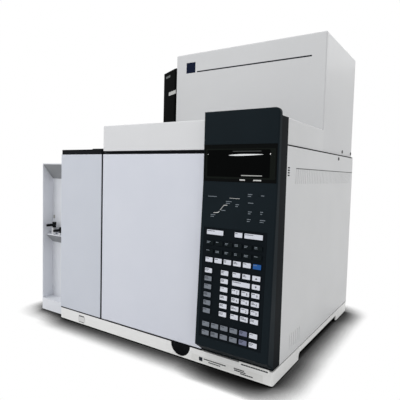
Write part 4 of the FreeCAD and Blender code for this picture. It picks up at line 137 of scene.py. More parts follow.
@dataclass(frozen=True)
class Finish:
    """A material with a fine relief, a drift of colour and a drift of gloss.

    Attributes:
        name: The material's name.
        colour: Main colour, sRGB hex.
        shade: Second colour that the pattern mixes in.
        share: How much of the second colour shows at most.
        roughness: Mean roughness.
        spread: Change of roughness either way.
        texture: How the surface was made.
        grain: Size of one grain, turn or line in millimetres.
        relief: Height of the grain in millimetres.
        stretch: How much longer the grain is along X, Y and Z.
        metallic: 1 for bare metal.
        ior: Index of refraction, left alone on metal.
        specular: Strength of the reflection at the surface, where 0.5 is that of the index alone.
        coat: Weight of a clear layer.
        drift: Size of the slow clouds of colour and gloss in millimetres.
    """

    name: str
    colour: str
    shade: str
    share: float
    roughness: float
    spread: float
    texture: Texture
    grain: float
    relief: float
    stretch: Triple = (1.0, 1.0, 1.0)
    metallic: float = 0.0
    ior: float = 1.5
    specular: float = 0.5
    coat: float = 0.0
    drift: float = 90.0

    def tinted(self, name: str, colour: str, shade: str, **changes: Any) -> Finish:
        """Return the finish under another name, in other colours and with further changes."""
        return replace(self, name=name, colour=colour, shade=shade, **changes)

    def material(self) -> bpy.types.Material:
        """Return the finish as a material, made once."""
        found = bpy.data.materials.get(self.name)
        if found is not None:
            return found
        material = bpy.data.materials.new(self.name)
        material.use_nodes = True
        material.diffuse_color = linear(self.colour)
        tree = material.node_tree
        tree.nodes.clear()
        place = add_node(tree, "TexCoord").outputs["Object"]
        fine = self.fine_pattern(tree, place)
        cloud = self.cloud(tree, place)
        pattern = fine if self.texture in COLOURED_GRAINS else cloud
        share = add_node(tree, "Math", {1: self.share}, {0: pattern}, operation="MULTIPLY")
        colours = {MIX_FIRST: linear(self.colour), MIX_SECOND: linear(self.shade)}
        colour = add_node(tree, "Mix", colours, {0: share.outputs[0]}, data_type="RGBA")
        limits = {"To Min": self.roughness - self.spread, "To Max": self.roughness + self.spread}
        rough = add_node(tree, "MapRange", limits, {"Value": cloud})
        bump = add_node(tree, "Bump", {"Strength": 1.0, "Distance": self.relief * MM}, {"Height": fine})
        base = colour.outputs[MIX_RESULT]
        shader = add_node(
            tree, "BsdfPrincipled",
            {"Metallic": self.metallic, "Coat Weight": self.coat, "Specular IOR Level": self.specular},
            {"Base Color": base, "Roughness": rough.outputs[0], "Normal": bump.outputs[0]},
        )
        if self.metallic < 1.0:
            shader.inputs["IOR"].default_value = self.ior
        add_node(tree, "OutputMaterial", None, {"Surface": shader.outputs[0]})
        return material

    def scaled(self, tree: Tree, place: Socket, size: float, stretch: Sequence[float]) -> Socket:
        """Return the place divided by a real size, so that one unit of a texture is one grain."""
        scale = tuple(1.0 / (size * MM * along) for along in stretch)
        return add_node(tree, "Mapping", {"Scale": scale}, {"Vector": place}).outputs[0]

    def fine_pattern(self, tree: Tree, place: Socket) -> Socket:
        """Return the height of the fine relief from 0 to 1."""
        vector = self.scaled(tree, place, self.grain, self.stretch)
        if self.texture is Texture.SPANGLED:
            cells = add_node(tree, "TexVoronoi", {"Scale": 1.0}, {"Vector": vector})
            return add_node(tree, "RGBToBW", None, {0: cells.outputs["Color"]}).outputs[0]
        if self.texture is Texture.WOUND:
            waves = {"Scale": TURN_BANDS, "Distortion": 0.3}
            along = {"wave_type": "BANDS", "bands_direction": "Y"}
            return add_node(tree, "TexWave", waves, {"Vector": vector}, **along).outputs["Fac"]
        if self.texture is Texture.ETCHED:
            # Turned so that the flat pattern lies on a board that faces along X
            turned = add_node(tree, "Mapping", {"Rotation": (0.0, math.pi / 2, 0.0)}, {"Vector": vector})
            bricks = add_node(tree, "TexBrick", TRACKS, {"Vector": turned.outputs[0]})
            return add_node(tree, "RGBToBW", None, {0: bricks.outputs["Color"]}).outputs[0]
        return self.noise(tree, vector, NOISE_DETAIL.get(self.texture, ROUGH_DETAIL))

    def cloud(self, tree: Tree, place: Socket) -> Socket:
        """Return a slow drift from 0 to 1 over the whole surface."""
        return self.noise(tree, self.scaled(tree, place, self.drift, (1.0, 1.0, 1.0)), CLOUD_DETAIL)

    def noise(self, tree: Tree, vector: Socket, detail: float) -> Socket:
        """Return noise from 0 to 1 whose largest grains are one unit wide."""
        return add_node(tree, "TexNoise", {"Scale": 1.0, "Detail": detail}, {"Vector": vector}).outputs["Fac"]


# Polyester powder paint: a baked skin with a faint orange peel that breaks up reflections
DOOR_PAINT = Finish(
    "satin paint, door white", "#d9dce5", "#cdd1dc", 0.6, 0.42, 0.05, Texture.ORANGE_PEEL, 1.4, 0.012,
    specular=0.4, coat=0.05,
)
PANEL_PAINT = DOOR_PAINT.tinted("satin paint, cool white", "#cdd1da", "#c0c5cf")
COVER_PAINT = DOOR_PAINT.tinted("satin paint, cover white", "#dedfe1", "#d3d4d6")
SIDE_PAINT = DOOR_PAINT.tinted("satin paint, neutral white", "#d4d5d6", "#c9cacb")
BOX_PAINT = DOOR_PAINT.tinted("satin paint, valve oven white", "#d2d3d4", "#c6c7c9", share=0.7, drift=200.0)
# The same powder on frame and box, in a thicker coat: a coarser peel and a little less gloss
# The frame's own light grey, made paler as painted light that stands for light bounced up from the floor
BASE_PAINT_AND_BOUNCE = Finish(
    "satin paint, light grey", "#efefee", "#e2e2e1", 0.6, 0.45, 0.05,
    Texture.ORANGE_PEEL, 1.6, 0.015, specular=0.4,
)
CARRIER_PAINT = BASE_PAINT_AND_BOUNCE.tinted("satin paint, blue grey", "#e1e3e8", "#d4d7dd")
# Injection-moulded ABS with a spark-eroded grain: dull and nearly black, with a weak broad sheen
BEZEL_ABS = Finish(
    "grained ABS, blue black", "#1a2227", "#131a1e", 0.7, 0.5, 0.06,
    Texture.MOULDED, 0.9, 0.02, specular=0.03,
)
HOUSING_ABS = BEZEL_ABS.tinted("grained ABS, dark grey", "#14181b", "#0e1114", specular=0.02)
TRIM_ABS = BEZEL_ABS.tinted("grained ABS, black", "#0d1013", "#080a0c", grain=1.0, relief=0.03, specular=0.06)
TOWER_ABS = BEZEL_ABS.tinted(
    "grained ABS, tower black", "#0b0d0d", "#070808", roughness=0.44, grain=1.0, specular=0.004,
)
# Glass-filled nylon: dull black with a slightly rough skin
HANDLE_PLASTIC = Finish(
    "glass-filled nylon, black", "#0e0f11", "#17181b", 0.5, 0.42, 0.06,
    Texture.MOULDED, 0.7, 0.02, specular=0.08,
)
# Moulded ABS of the power button: light grey and satin, a little shinier where fingers press
BUTTON_PLASTIC = Finish(
    "moulded button, light grey", "#dededd", "#d0d0cf", 0.6, 0.42, 0.05,
    Texture.MOULDED, 0.8, 0.015, specular=0.4,
)
# Acetal: white and waxy, with a soft gloss
TURRET_PLASTIC = Finish("acetal, white", "#d8dadd", "#c8cbcf", 0.6, 0.35, 0.05, Texture.MOULDED, 0.8, 0.01)
# Silicone keypad: a matt skin with hardly any sheen
KEYPAD_RUBBER = Finish(
    "silicone keypad, blue black", "#0f161b", "#0a0f13", 0.7, 0.65, 0.05,
    Texture.MOULDED, 0.6, 0.01, specular=0.05,
)
# Hard paint on the key tops: even colours with a fine skin that catches a soft light
CAP_LIGHT = Finish(
    "painted key cap, light", "#dcdfe8", "#cdd1dc", 0.7, 0.48, 0.06,
    Texture.MOULDED, 0.5, 0.008, specular=0.3,
)
CAP_GREY = CAP_LIGHT.tinted("painted key cap, grey", "#7c828b", "#6f757e", roughness=0.5, specular=0.2)
CAP_VIOLET = CAP_GREY.tinted("painted key cap, slate", "#767a92", "#696d84")
CAP_BLUE = CAP_GREY.tinted("painted key cap, blue", "#1f5aa0", "#1a4f90", roughness=0.45)
CAP_DARK = CAP_GREY.tinted("painted key cap, dark", "#0d1518", "#091012", roughness=0.55, specular=0.06)
# Screen prints: dull ink layers with no visible grain
# The dark ink also paints the shade in the gaps at the power button's upper and lower edges
INK_AND_SHADE_DARK = Finish(
    "screen print and painted shade, dark", "#23262e", "#2e323b", 0.5, 0.6, 0.05, Texture.POLISHED, 2.0, 0.002, specular=0.12,
)
INK_BLACK = INK_AND_SHADE_DARK.tinted("screen print, black", "#1b1e24", "#14171c", specular=0.1)
INK_PALE = INK_AND_SHADE_DARK.tinted("screen print, pale", "#828b93", "#727a82", share=0.6, specular=0.2)
INK_NAVY = INK_AND_SHADE_DARK.tinted("screen print, navy", "#111930", "#0d1426", share=0.6, specular=0.05)
# Polyester label film: smooth, with a low gloss
LABEL_FILM = Finish(
    "label film, pale", "#e6e6e4", "#dadad8", 0.6, 0.4, 0.05, Texture.POLISHED, 5.0, 0.004, specular=0.3,
)
PLATE_WHITE = LABEL_FILM.tinted("label film, white", "#f4f4f2", "#ececea")
# The grey also paints the highlight along the screen's lower edge
LABEL_AND_HIGHLIGHT_GREY = LABEL_FILM.tinted("label film and painted highlight, grey", "#b4b5b2", "#a9aaa7")
# The dark grey also paints the dim highlight at the screen's rim and the shade in the crease over the louvres
LABEL_AND_PAINTED_LIGHT_DARK = LABEL_FILM.tinted("label film and painted light, dark grey", "#5d605f", "#545756", roughness=0.45, specular=0.1)
# Polycarbonate window over a dark liquid crystal panel: deep black with a thin clear gloss
WINDOW_GLOSS = Finish(
    "tinted window, gloss", "#050707", "#090b0b", 0.7, 0.12, 0.04, Texture.POLISHED, 30.0, 0.003,
    ior=1.58, specular=0.03,
)
SCREEN_GLASS = Finish(
    "liquid crystal, dark", "#020303", "#040505", 0.7, 0.1, 0.03, Texture.POLISHED, 20.0, 0.002,
    ior=1.58, specular=0.02,
)
# Black plastic frame round the liquid crystal: a shade lighter than the glass, and duller
MODULE_FRAME = Finish(
    "screen frame, black plastic", "#121613", "#0d110e", 0.6, 0.4, 0.05,
    Texture.MOULDED, 1.0, 0.01, specular=0.04,
)
# Clear acrylic lenses: bright and glossy points; also the painted highlight on the screen's upper edge
LENS_AND_HIGHLIGHT_CLEAR = Finish(
    "indicator lens and painted highlight, clear", "#f2f4f5", "#e4e7e9", 0.6, 0.2, 0.04, Texture.POLISHED, 2.0, 0.002,
)
# Stainless steel, brushed along the piece: streaks that stretch every reflection
STAINLESS = Finish(
    "stainless steel, brushed", "#b9bab9", "#9c9d9c", 0.5, 0.34, 0.08, Texture.BRUSHED, 0.5, 0.006,
    stretch=(60.0, 60.0, 1.0), metallic=1.0,
)
# Zinc-plated sheet: crystals a few millimetres wide, each with a slightly other grey
ZINC = Finish(
    "zinc-plated sheet", "#b7bbbe", "#9aa0a4", 0.7, 0.38, 0.08, Texture.SPANGLED, 9.0, 0.004, metallic=1.0,
)
# Nickel-plated brass: a pale smooth plate with a soft mirror
NICKEL = Finish(
    "nickel-plated brass", "#d0d1d3", "#babbbe", 0.5, 0.32, 0.06, Texture.BRUSHED, 0.6, 0.004,
    stretch=(20.0, 20.0, 1.0), metallic=1.0,
)
# Machined aluminium: fine tool lines across the face
ALUMINIUM = NICKEL.tinted(
    "machined aluminium", "#c3c5c7", "#a9abad", roughness=0.36, relief=0.008, stretch=(40.0, 1.0, 40.0),
)
# Turned brass: warm yellow with faint turning lines
BRASS = NICKEL.tinted("turned brass", "#b5914c", "#94753a", roughness=0.3, grain=0.4, relief=0.006)
# Heater tube, browned by heat: a dull mottled oxide
HEATER = Finish(
    "oxidised heater tube", "#6a5f5a", "#473f3c", 0.8, 0.5, 0.08, Texture.BRUSHED, 4.0, 0.01, metallic=1.0,
)
# Stoved enamel on castings: black, with a soft peel
MOTOR_PAINT = Finish(
    "stoved enamel, black", "#1b1c1e", "#26282b", 0.6, 0.45, 0.06,
    Texture.ORANGE_PEEL, 1.5, 0.02, specular=0.25,
)
# Ceramic fibre board: loose pressed fibres, quite dull
FIBRE_BOARD = Finish(
    "ceramic fibre board", "#cfc6ae", "#b0a588", 0.9, 0.9, 0.04, Texture.FIBROUS, 3.0, 0.5,
    stretch=(5.0, 1.0, 2.0), drift=40.0,
)
# Braided glass seal: grey strands that cross, drawn a little coarser than the real ones so that they show
SEAL_BRAID = Finish(
    "braided glass seal", "#8a8b8c", "#626365", 0.9, 0.8, 0.05,
    Texture.FIBROUS, 1.6, 0.25, stretch=(1.0, 3.0, 1.0),
)
# Fused silica coated with polyimide: amber turns side by side with a silky gloss
WINDINGS = Finish(
    "polyimide-coated windings", "#8a4f20", "#57300f", 0.9, 0.3, 0.05, Texture.WOUND, 1.4, 0.3,
)
# Circuit board under solder mask: green with tracks in low relief
BOARD = Finish("solder mask, green", "#165a36", "#0d3f25", 0.9, 0.35, 0.05, Texture.ETCHED, 9.0, 0.03)
# Oxide-blackened steel: nearly black, with a faint oily sheen
BLACKED_STEEL = Finish(
    "blackened steel", "#15161a", "#1d1e21", 0.5, 0.4, 0.06, Texture.BRUSHED, 0.6, 0.004, specular=0.2,
)
# Painted shade for the gaps between panels and the small side vents: black, with no gloss at all
PAINTED_SHADE_BLACK = Finish(
    "painted shade, black", "#0c0d0f", "#121315", 0.6, 0.9, 0.04, Texture.FIBROUS, 0.8, 0.03, specular=0.05,
)
# Painted shade under the utility box's hood and shelf: grey, with a fibrous grain and no gloss
PAINTED_SHADE_GREY = Finish(
    "painted shade, grey", "#95979a", "#86888b", 0.7, 0.95, 0.03, Texture.FIBROUS, 0.8, 0.04, specular=0.1,
)
# Moulded rubber: black and quite dull
FOOT_RUBBER = Finish(
    "foot rubber", "#151516", "#1e1e1f", 0.6, 0.75, 0.05, Texture.MOULDED, 1.2, 0.05, specular=0.15,
)

DRESSED_NODES = (
    (BASE_PAINT_AND_BOUNCE, "base_frame"),
    (SIDE_PAINT, "left_side_panel right_side_panel rear_panel electronics_cover"),
    (PANEL_PAINT, "left_front_panel"),
    (DOOR_PAINT, "oven_door"),
    (COVER_PAINT, "inlet_cover"),
    (BOX_PAINT, "valve_oven_cover"),
    (CARRIER_PAINT, "side_carrier"),
    (TRIM_ABS, "left_bay_cap top_deck door_latch power_inlet"),
    (HOUSING_ABS, "panel_housing"),
    (BEZEL_ABS, "panel_bezel"),
    (WINDOW_GLOSS, "display_unit"),
    (KEYPAD_RUBBER, "keypad_mat key_prepare key_stop key_start key_enter key_up key_down key_shift"),
    (BUTTON_PLASTIC, "power_button"),
    (TOWER_ABS, "tower_housing tower_door"),
    (HANDLE_PLASTIC, "valve_handle_tall valve_handle_short syringe_carriage"),
    (TURRET_PLASTIC, "vial_turret"),
    (STAINLESS, "cover_hinge_rod oven_liner oven_fan fan_shroud column_hanger door_liner vent_flap"),
    (STAINLESS, "injection_inlets sample_valve"),
    (BLACKED_STEEL, "hinge_pins cover_screws"),
    (ZINC, "bay_dividers exhaust_duct"),
    (NICKEL, "shutoff_valves"),
    (ALUMINIUM, "pneumatics_module detectors"),
    (BRASS, "gas_fittings"),
    (HEATER, "oven_heater"),
    (WINDINGS, "capillary_column"),
    (FIBRE_BOARD, "oven_insulation valve_oven_box"),
    (SEAL_BRAID, "door_seal"),
    (MOTOR_PAINT, "fan_motor power_transformer cooling_fan_frame cooling_fan_rotor"),
    (BOARD, "main_board"),
    (FOOT_RUBBER, "rubber_feet"),
)
NODE_FINISHES = {name: finish for finish, names in DRESSED_NODES for name in names.split()}


# Surfaces from arrays
class Surface:
    """A mesh gathered from grids of points, each a function of two parameters."""

    def __init__(self) -> None:
        """Start with no points and no faces."""
        self.points: list[np.ndarray] = []
        self.faces: list[np.ndarray] = []
        self.count = 0

    def add_grid(self, grid: np.ndarray) -> None:
        """Add one grid of points as quads between neighbours, where the last column joins the first.

        Args:
            grid: Points as rows by columns by XYZ.
        """
        rows, columns = grid.shape[:2]
        here = np.arange(rows * columns).reshape(rows, columns)
        after = np.roll(here, -1, axis=1)
        quads = np.stack([here[:-1], after[:-1], after[1:], here[1:]], axis=-1).reshape(-1, 4)
        self.add_faces(grid.reshape(-1, 3), quads)

    def add_faces(self, points: np.ndarray, faces: np.ndarray) -> None:
        """Add points with their own faces.

        Args:
            points: Points as N by XYZ.
            faces: Point numbers as M by the corners of a face.
        """
        self.points.append(points)
        self.faces.append(faces + self.count)
        self.count += len(points)

    def build(self, name: str, finish: Finish, slot: str, body: str = CABINET, smooth: bool = False,
              closed: bool = True) -> None:
        """Make the mesh object, close its seams and let it ride on a body, with its place in its mesh.

        Args:
            name: The piece's name.
            finish: Its finish.
            slot: The record's material slot that it takes; not used.
            body: The body that carries it.
            smooth: Whether its faces shade smoothly.
            closed: Whether its grids close into solids, whose faces are then pointed outwards.
        """
        mesh = bpy.data.meshes.new(name)
        points = np.concatenate(self.points)
        faces = np.concatenate(self.faces)
        mesh.from_pydata(points.tolist(), [], faces.tolist())
        if closed:
            close_and_orient(mesh)
        mesh.polygons.foreach_set("use_smooth", np.full(len(mesh.polygons), smooth))
        mesh.materials.append(finish.material())
        piece = bpy.data.objects.new(name, mesh)
        bpy.context.scene.collection.objects.link(piece)
        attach(piece, body)
        LOG.info("piece %s rides on %s: %d faces", name, body, len(mesh.polygons))


# Metres within which points merge and edges vanish, then the steps and the rings of a tile
MERGED = 0.000002
FLAT = 0.000001
ROUND_STEPS = 5
SHARP_CORNER = 0.3
BEVEL_POINTS = 4
CROWN_RINGS = (0.96, 0.7, 0.35, 0.0)
FLAT_RINGS = (0.97, 0.0)


def close_and_orient(mesh: bpy.types.Mesh) -> None:
    """Merge coinciding points, drop flat faces and point every face outwards."""
    work = bmesh.new()
    work.from_mesh(mesh)
    bmesh.ops.remove_doubles(work, verts=work.verts, dist=MERGED)
    bmesh.ops.dissolve_degenerate(work, edges=work.edges, dist=FLAT)
    bmesh.ops.recalc_face_normals(work, faces=work.faces)
    work.to_mesh(mesh)
    work.free()


def rounded_outline(half_wide: float, half_high: float, corner: float, steps: int) -> np.ndarray:
    """Return a rounded rectangle counter-clockwise about its centre.

    Each corner is a quarter circle: the corner's centre plus the radius times cosine and sine of an angle
    that runs on by a quarter turn from corner to corner.

    Args:
        half_wide: Half its width.
        half_high: Half its height.
        corner: Corner radius.
        steps: Steps in each quarter circle.

    Returns:
        Points as N by 2.
    """
    quarter = np.linspace(0.0, math.pi / 2, steps + 1)
    angles = (quarter[None, :] + np.arange(4)[:, None] * math.pi / 2).ravel()
    signs = np.repeat(np.array([[1, 1], [-1, 1], [-1, -1], [1, -1]]), steps + 1, axis=0)
    centres = signs * np.array([half_wide - corner, half_high - corner])
    return centres + corner * np.stack([np.cos(angles), np.sin(angles)], axis=-1)


@dataclass(frozen=True)
class Plane:
    """A flat place to build on: an origin with a direction across, one up and one outwards."""

    origin: Triple
    across: Triple = (1.0, 0.0, 0.0)
    up: Triple = (0.0, 0.0, 1.0)
    out: Triple = (0.0, -1.0, 0.0)

    def place(self, across: np.ndarray, up: np.ndarray, out: np.ndarray | float) -> np.ndarray:
        """Return world points in metres: the origin plus each amount along its direction."""
        basis = np.array([self.across, self.up, self.out])
        amounts = np.stack(np.broadcast_arrays(across, up, out), axis=-1)
        return (np.array(self.origin) + amounts @ basis) * MM


@dataclass(frozen=True)
class Tile:
    """A low rounded tile on a plane, such as a key cap, a label or a printed bar.

    Attributes:
        left: Left edge.
        low: Lower edge.
        wide: Width.
        high: Height.
        top: Height of its face above the plane.
        base: Height at which its side starts.
        corner: Corner radius.
        bevel: Radius of the edge between side and face.
        crown: How much the face rises to its middle.
    """

    left: float
    low: float
    wide: float
    high: float
    top: float = PRINT_TOP
    base: float = SUNK
    corner: float = 0.2
    bevel: float = 0.0
    crown: float = 0.0

    def grid(self, plane: Plane) -> np.ndarray:
        """Return the tile as rings of points.

        The side rises straight from the base. The edge is a quarter circle, where the inset is the bevel
        times one minus the cosine and the height is the bevel times the sine. The face draws in to the middle
        and rises by the crown times one minus the square of the distance. A ring close inside the edge keeps
        a flat face's shading even.
        """
        half = np.array([self.wide, self.high]) / 2
        steps = ROUND_STEPS if self.corner > SHARP_CORNER else 1
        rim = rounded_outline(half[0], half[1], self.corner, steps)
        turn = np.linspace(0.0, math.pi / 2, BEVEL_POINTS) if self.bevel else np.zeros(1)
        insets = self.bevel * (1 - np.cos(turn))
        heights = self.top - self.bevel + self.bevel * np.sin(turn)
        shrink = 1 - insets[:, None] / half[None, :]
        edge = rim[None] * shrink[:, None, :]
        inner = np.array(CROWN_RINGS if self.crown else FLAT_RINGS)
        face = edge[-1][None] * inner[:, None, None]
        rise = self.top + self.crown * (1 - inner ** 2)
        flat = np.concatenate([0.0 * rim[None], rim[None], edge, face])
        levels = np.concatenate([[self.base, self.base], heights, rise])
        centre = np.array([self.left, self.low]) + half
        spots = flat + centre
        return plane.place(spots[..., 0], spots[..., 1], levels[:, None])


def tiles(name: str, plane: Plane, shapes: Sequence[Tile], finish: Finish, slot: str,
          body: str = CABINET) -> None:
    """Build several tiles on one plane as one piece.

    Args:
        name: The piece's name.
        plane: Where the tiles lie.
        shapes: The tiles.
        finish: Their finish.
        slot: The record's material slot that they take; passed on but not used.
        body: The body that carries them.
    """
    surface = Surface()
    for shape in shapes:
        surface.add_grid(shape.grid(plane))
    surface.build(name, finish, slot, body, smooth=any(shape.bevel for shape in shapes))


def ribbon(plane: Plane, across: np.ndarray, low: np.ndarray, high: np.ndarray, top: float) -> np.ndarray:
    """Return a flat closed strip between two curves over the same places across.

    At each place the section is a thin rectangle from the lower to the upper curve, and both ends close
    into a point on the middle line.

    Args:
        plane: The plane it lies on.
        across: Places across.
        low: Lower curve there.
        high: Upper curve there.
        top: Height of its face above the plane.

    Returns:
        Rows of four points, whose last joins the first.
    """
    levels = np.array([DEEP, top, top, DEEP])
    up = np.stack([low, low, high, high], axis=-1)
    ends = np.stack([low, high], axis=-1).mean(axis=-1)
    up = np.concatenate([np.full((1, 4), ends[0]), up, np.full((1, 4), ends[-1])])
    places = np.concatenate([across[:1], across, across[-1:]])
    return plane.place(places[:, None], up, levels[None, :])


def bars(left: float, low: float, long: float, high: float, parts: int, top: float = PRINT_TOP,
         base: float = SUNK, gap: float = 0.45) -> list[Tile]:
    """Return one line of print as plain bars of one length.

    Args:
        left: Left end of the line.
        low: Its lower edge.
        long: Length.
        high: Height of the print.
        parts: Number of bars.
        top: Height of their faces above the plane.
        base: Height at which their sides start.
        gap: Gap after each bar where there are several.

    Returns:
        The bars.
    """
    step = long / parts
    wide = step - gap if parts > 1 else step
    return [Tile(left + part * step, low, wide, high, top, base) for part in range(parts)]


def front_plane(back: float = 0.0) -> Plane:
    """Return an upright plane that faces the front, some way behind the door's face."""
    return Plane((0.0, FRONT + back, 0.0))


def side_plane(sunk: float = 0.0) -> Plane:
    """Return a plane some way inside the right side, whose places across run back from the door's face."""
    return Plane((RIGHT - sunk, FRONT, 0.0), across=(0.0, 1.0, 0.0), out=(1.0, 0.0, 0.0))


# Control panel
class Cap(Enum):
    """Colours of the moulded key caps."""

    LIGHT = "light"
    GREY = "grey"
    VIOLET = "violet"
    DARK = "dark"


@dataclass(frozen=True)
class PanelPart:
    """The faces of the control panel: one upright, and under it one that leans forward to its foot.

    Attributes:
        face: How far the upright face stands before the door.
        lean_up: Height of the line between the two.
        lean_run: Height of the leaning face.
        lean_rise: How far it comes forward over that height.
    """

    face: float = 11.0
    lean_up: float = 360.0
    lean_run: float = 308.0
    lean_rise: float = 14.5

    def leaning(self) -> Plane:
        """Return the leaning face: across along X, up along the slope from the line between the faces."""
        run = math.hypot(self.lean_run, self.lean_rise)
        sine = self.lean_rise / run
        cosine = self.lean_run / run
        origin = (PANEL_LEFT, FRONT - self.face, self.lean_up)
        return Plane(origin, up=(0.0, sine, cosine), out=(0.0, -cosine, sine))


@dataclass(frozen=True)
class Keypad(PanelPart):
    """Key caps and their printed marks on the panel's leaning face.

    A row is how far the lower edge of its keys lies down the slope. A pitch is the step to the next one.
    The number block starts at block_column, block_row rows under info_row.
    """

    first_left: float = 16.0
    pitch: float = 19.65
    columns: int = 6
    key_wide: float = 16.0
    key_high: float = 9.5
    key_flat: float = 8.5
    wide_key: float = 36.0
    margin: float = 0.35
    cap_shape: Tile = Tile(0.0, 0.0, 0.0, 0.0, 1.85, 1.3, 0.9, 0.35, 0.12)
    start_row: float = 97.0
    dark_row: float = 132.4
    dark_pitch: float = 16.3
    menu_row: float = 148.5
    info_row: float = 168.8
    info_rows: int = 6
    row_pitch: float = 15.1
    last_row: float = 285.7
    last_pitch: float = 16.2
    menu_left: float = 50.8
    print_top: float = 2.02
    print_deep: float = 0.2
    mark_high: float = 1.25
    mark_left: float = 1.6
    mark_drop: float = 2.4
    mark_pitch: float = 2.3
    mark_step: float = 2.1
    mark_gap: float = 0.42
    mark_span: tuple[float, float] = (0.3, 0.52)
    word_share: float = 0.8
    word_gap: float = 2.1
    first_mark_seed: int = 11
    loose_mark_seed: int = 300
    block_column: int = 3
    block_row: int = 2
    glyph_steps: int = 3
    digit_size: float = 6.0
    digit_left: float = 9.6
    digit_up: float = 2.4
    digit_lift: float = 0.02
    arrow_half: tuple[float, float] = (2.1, 1.7)

    def column(self, number: int) -> float:
        """Return the left edge of a key column."""
        return self.first_left + self.pitch * number

    def cap(self, left: float, row: float, wide: float, high: float) -> Tile:
        """Return the painted cap on one key's face, a margin inside its edge."""
        edge = self.margin
        return replace(
            self.cap_shape, left=left + edge, low=edge - row, wide=wide - 2 * edge, high=high - 2 * edge,
        )

    def moulded(self) -> list[tuple[Cap, float, float, float]]:
        """Return the like keys: colour, left edge, row and height."""
        keys: list[tuple[Cap, float, float, float]] = []

        def add(colour: Cap, row: float, lefts: Sequence[float], high: float = self.key_high) -> None:
            """Add keys of one colour in one row."""
            keys.extend((colour, left, row, high) for left in lefts)

        lefts = [self.column(number) for number in range(self.columns)]
        for left in lefts:
            add(Cap.DARK, self.dark_row, [left], self.key_flat)
            add(Cap.DARK, self.dark_row - self.dark_pitch, [left], self.key_flat)
        add(Cap.LIGHT, self.menu_row, lefts[:5])
        for step in range(self.info_rows):
            row = self.info_row + step * self.row_pitch
            add(Cap.GREY if step else Cap.LIGHT, row, lefts[:1])
            add(Cap.LIGHT, row, [self.menu_left])
            if step != 1:
                add(Cap.LIGHT, row, lefts[3:] if step else lefts[3:5])
        for row in (self.last_row, self.last_row - self.last_pitch):
            add(Cap.GREY, row, lefts[:4])
            add(Cap.VIOLET, row, lefts[4:5])
            add(Cap.LIGHT, row, lefts[5:])
        return keys

    def loose(self) -> dict[str, Triple]:
        """Return the keys that move alone: name to left edge, row and width."""
        second = self.info_row + self.row_pitch
        return {
            "key_prepare": (self.column(0), self.start_row, self.wide_key),
            "key_stop": (self.column(3), self.start_row, self.key_wide),
            "key_start": (self.column(4), self.start_row, self.wide_key),
            "key_shift": (self.column(5), self.menu_row, self.key_wide),
            "key_up": (self.column(5), self.info_row, self.key_wide),
            "key_enter": (self.column(3), second, self.wide_key),
            "key_down": (self.column(5), second, self.key_wide),
        }

    def marks(self, left: float, row: float, wide: float, high: float, seed: int) -> list[Tile]:
        """Return short printed bars near a key's upper left, in place of its words."""
        rng = np.random.default_rng(seed)
        top = self.print_top
        lines = 1 if wide > self.key_wide else int(rng.integers(1, 3))
        shapes: list[Tile] = []
        for line in range(lines):
            span = wide * float(rng.uniform(*self.mark_span))
            low = -row + high - self.mark_drop - line * self.mark_pitch - self.mark_high / 2
            parts = max(2, int(span / self.mark_step))
            step = span / parts
            for part in range(parts):
                gap = self.mark_gap * (1.0 if rng.uniform() < self.word_share else self.word_gap)
                start = left + self.mark_left + part * step
                shapes.append(Tile(start, low, step - gap, self.mark_high, top, top - self.print_deep))
        return shapes

    def digits(self, plane: Plane) -> None:
        """Print the plain digits of the number block: each glyph's flat outline is laid on its key."""
        surface = Surface()
        for number, character in enumerate("789456123-0."):
            step, column = divmod(number, 3)
            curve = bpy.data.curves.new("glyph", "FONT")
            curve.body = character
            curve.size = self.digit_size
            curve.resolution_u = self.glyph_steps
            glyph = bpy.data.objects.new("glyph", curve)
            flat = glyph.to_mesh()
            flat.calc_loop_triangles()
            spots = np.array([vertex.co for vertex in flat.vertices])
            corners = np.array([list(face.vertices) for face in flat.loop_triangles])
            left = self.column(self.block_column + column) + self.digit_left
            low = -(self.info_row + (self.block_row + step) * self.row_pitch) + self.digit_up
            top = self.print_top + self.digit_lift
            surface.add_faces(plane.place(left + spots[:, 0], low + spots[:, 1], top), corners)
            glyph.to_mesh_clear()
            bpy.data.objects.remove(glyph)
        surface.build("key_digits", INK_BLACK, "black_trim", closed=False)

    def build(self) -> None:
        """Build caps and marks for the moulded keys and for those that move."""
        plane = self.leaning()
        keys = self.moulded()
        finishes = {Cap.LIGHT: CAP_LIGHT, Cap.GREY: CAP_GREY, Cap.VIOLET: CAP_VIOLET, Cap.DARK: CAP_DARK}
        for colour, finish in finishes.items():
            places = [key[1:] for key in keys if key[0] is colour]
            caps = [self.cap(left, row, self.key_wide, high) for left, row, high in places]
            slot = "keypad_rubber" if colour is Cap.DARK else "key_white"
            tiles(f"key_caps_{colour.value}", plane, caps, finish, slot)
        dark: list[Tile] = []
        pale: list[Tile] = []
        for seed, (kind, left, row, high) in enumerate(keys, self.first_mark_seed):
            shapes = pale if kind is Cap.DARK else dark
            shapes.extend(self.marks(left, row, self.key_wide, high, seed))
        tiles("key_marks_dark", plane, dark, INK_AND_SHADE_DARK, "black_trim")
        tiles("key_marks_pale", plane, pale, INK_PALE, "carrier_grey")
        self.digits(plane)
        for seed, (name, (left, row, wide)) in enumerate(self.loose().items(), self.loose_mark_seed):
            blue = name == "key_shift"
            cap = [self.cap(left, row, wide, self.key_high)]
            finish, slot = (CAP_BLUE, "key_blue") if blue else (CAP_LIGHT, "key_white")
            tiles(f"{name}_cap", plane, cap, finish, slot, name)
            if name in ("key_up", "key_down"):
                self.arrow(name, left, row)
                continue
            marks = self.marks(left, row, wide, self.key_high, seed)
            ink, slot = (INK_PALE, "carrier_grey") if blue else (INK_AND_SHADE_DARK, "black_trim")
            tiles(f"{name}_mark", plane, marks, ink, slot, name)

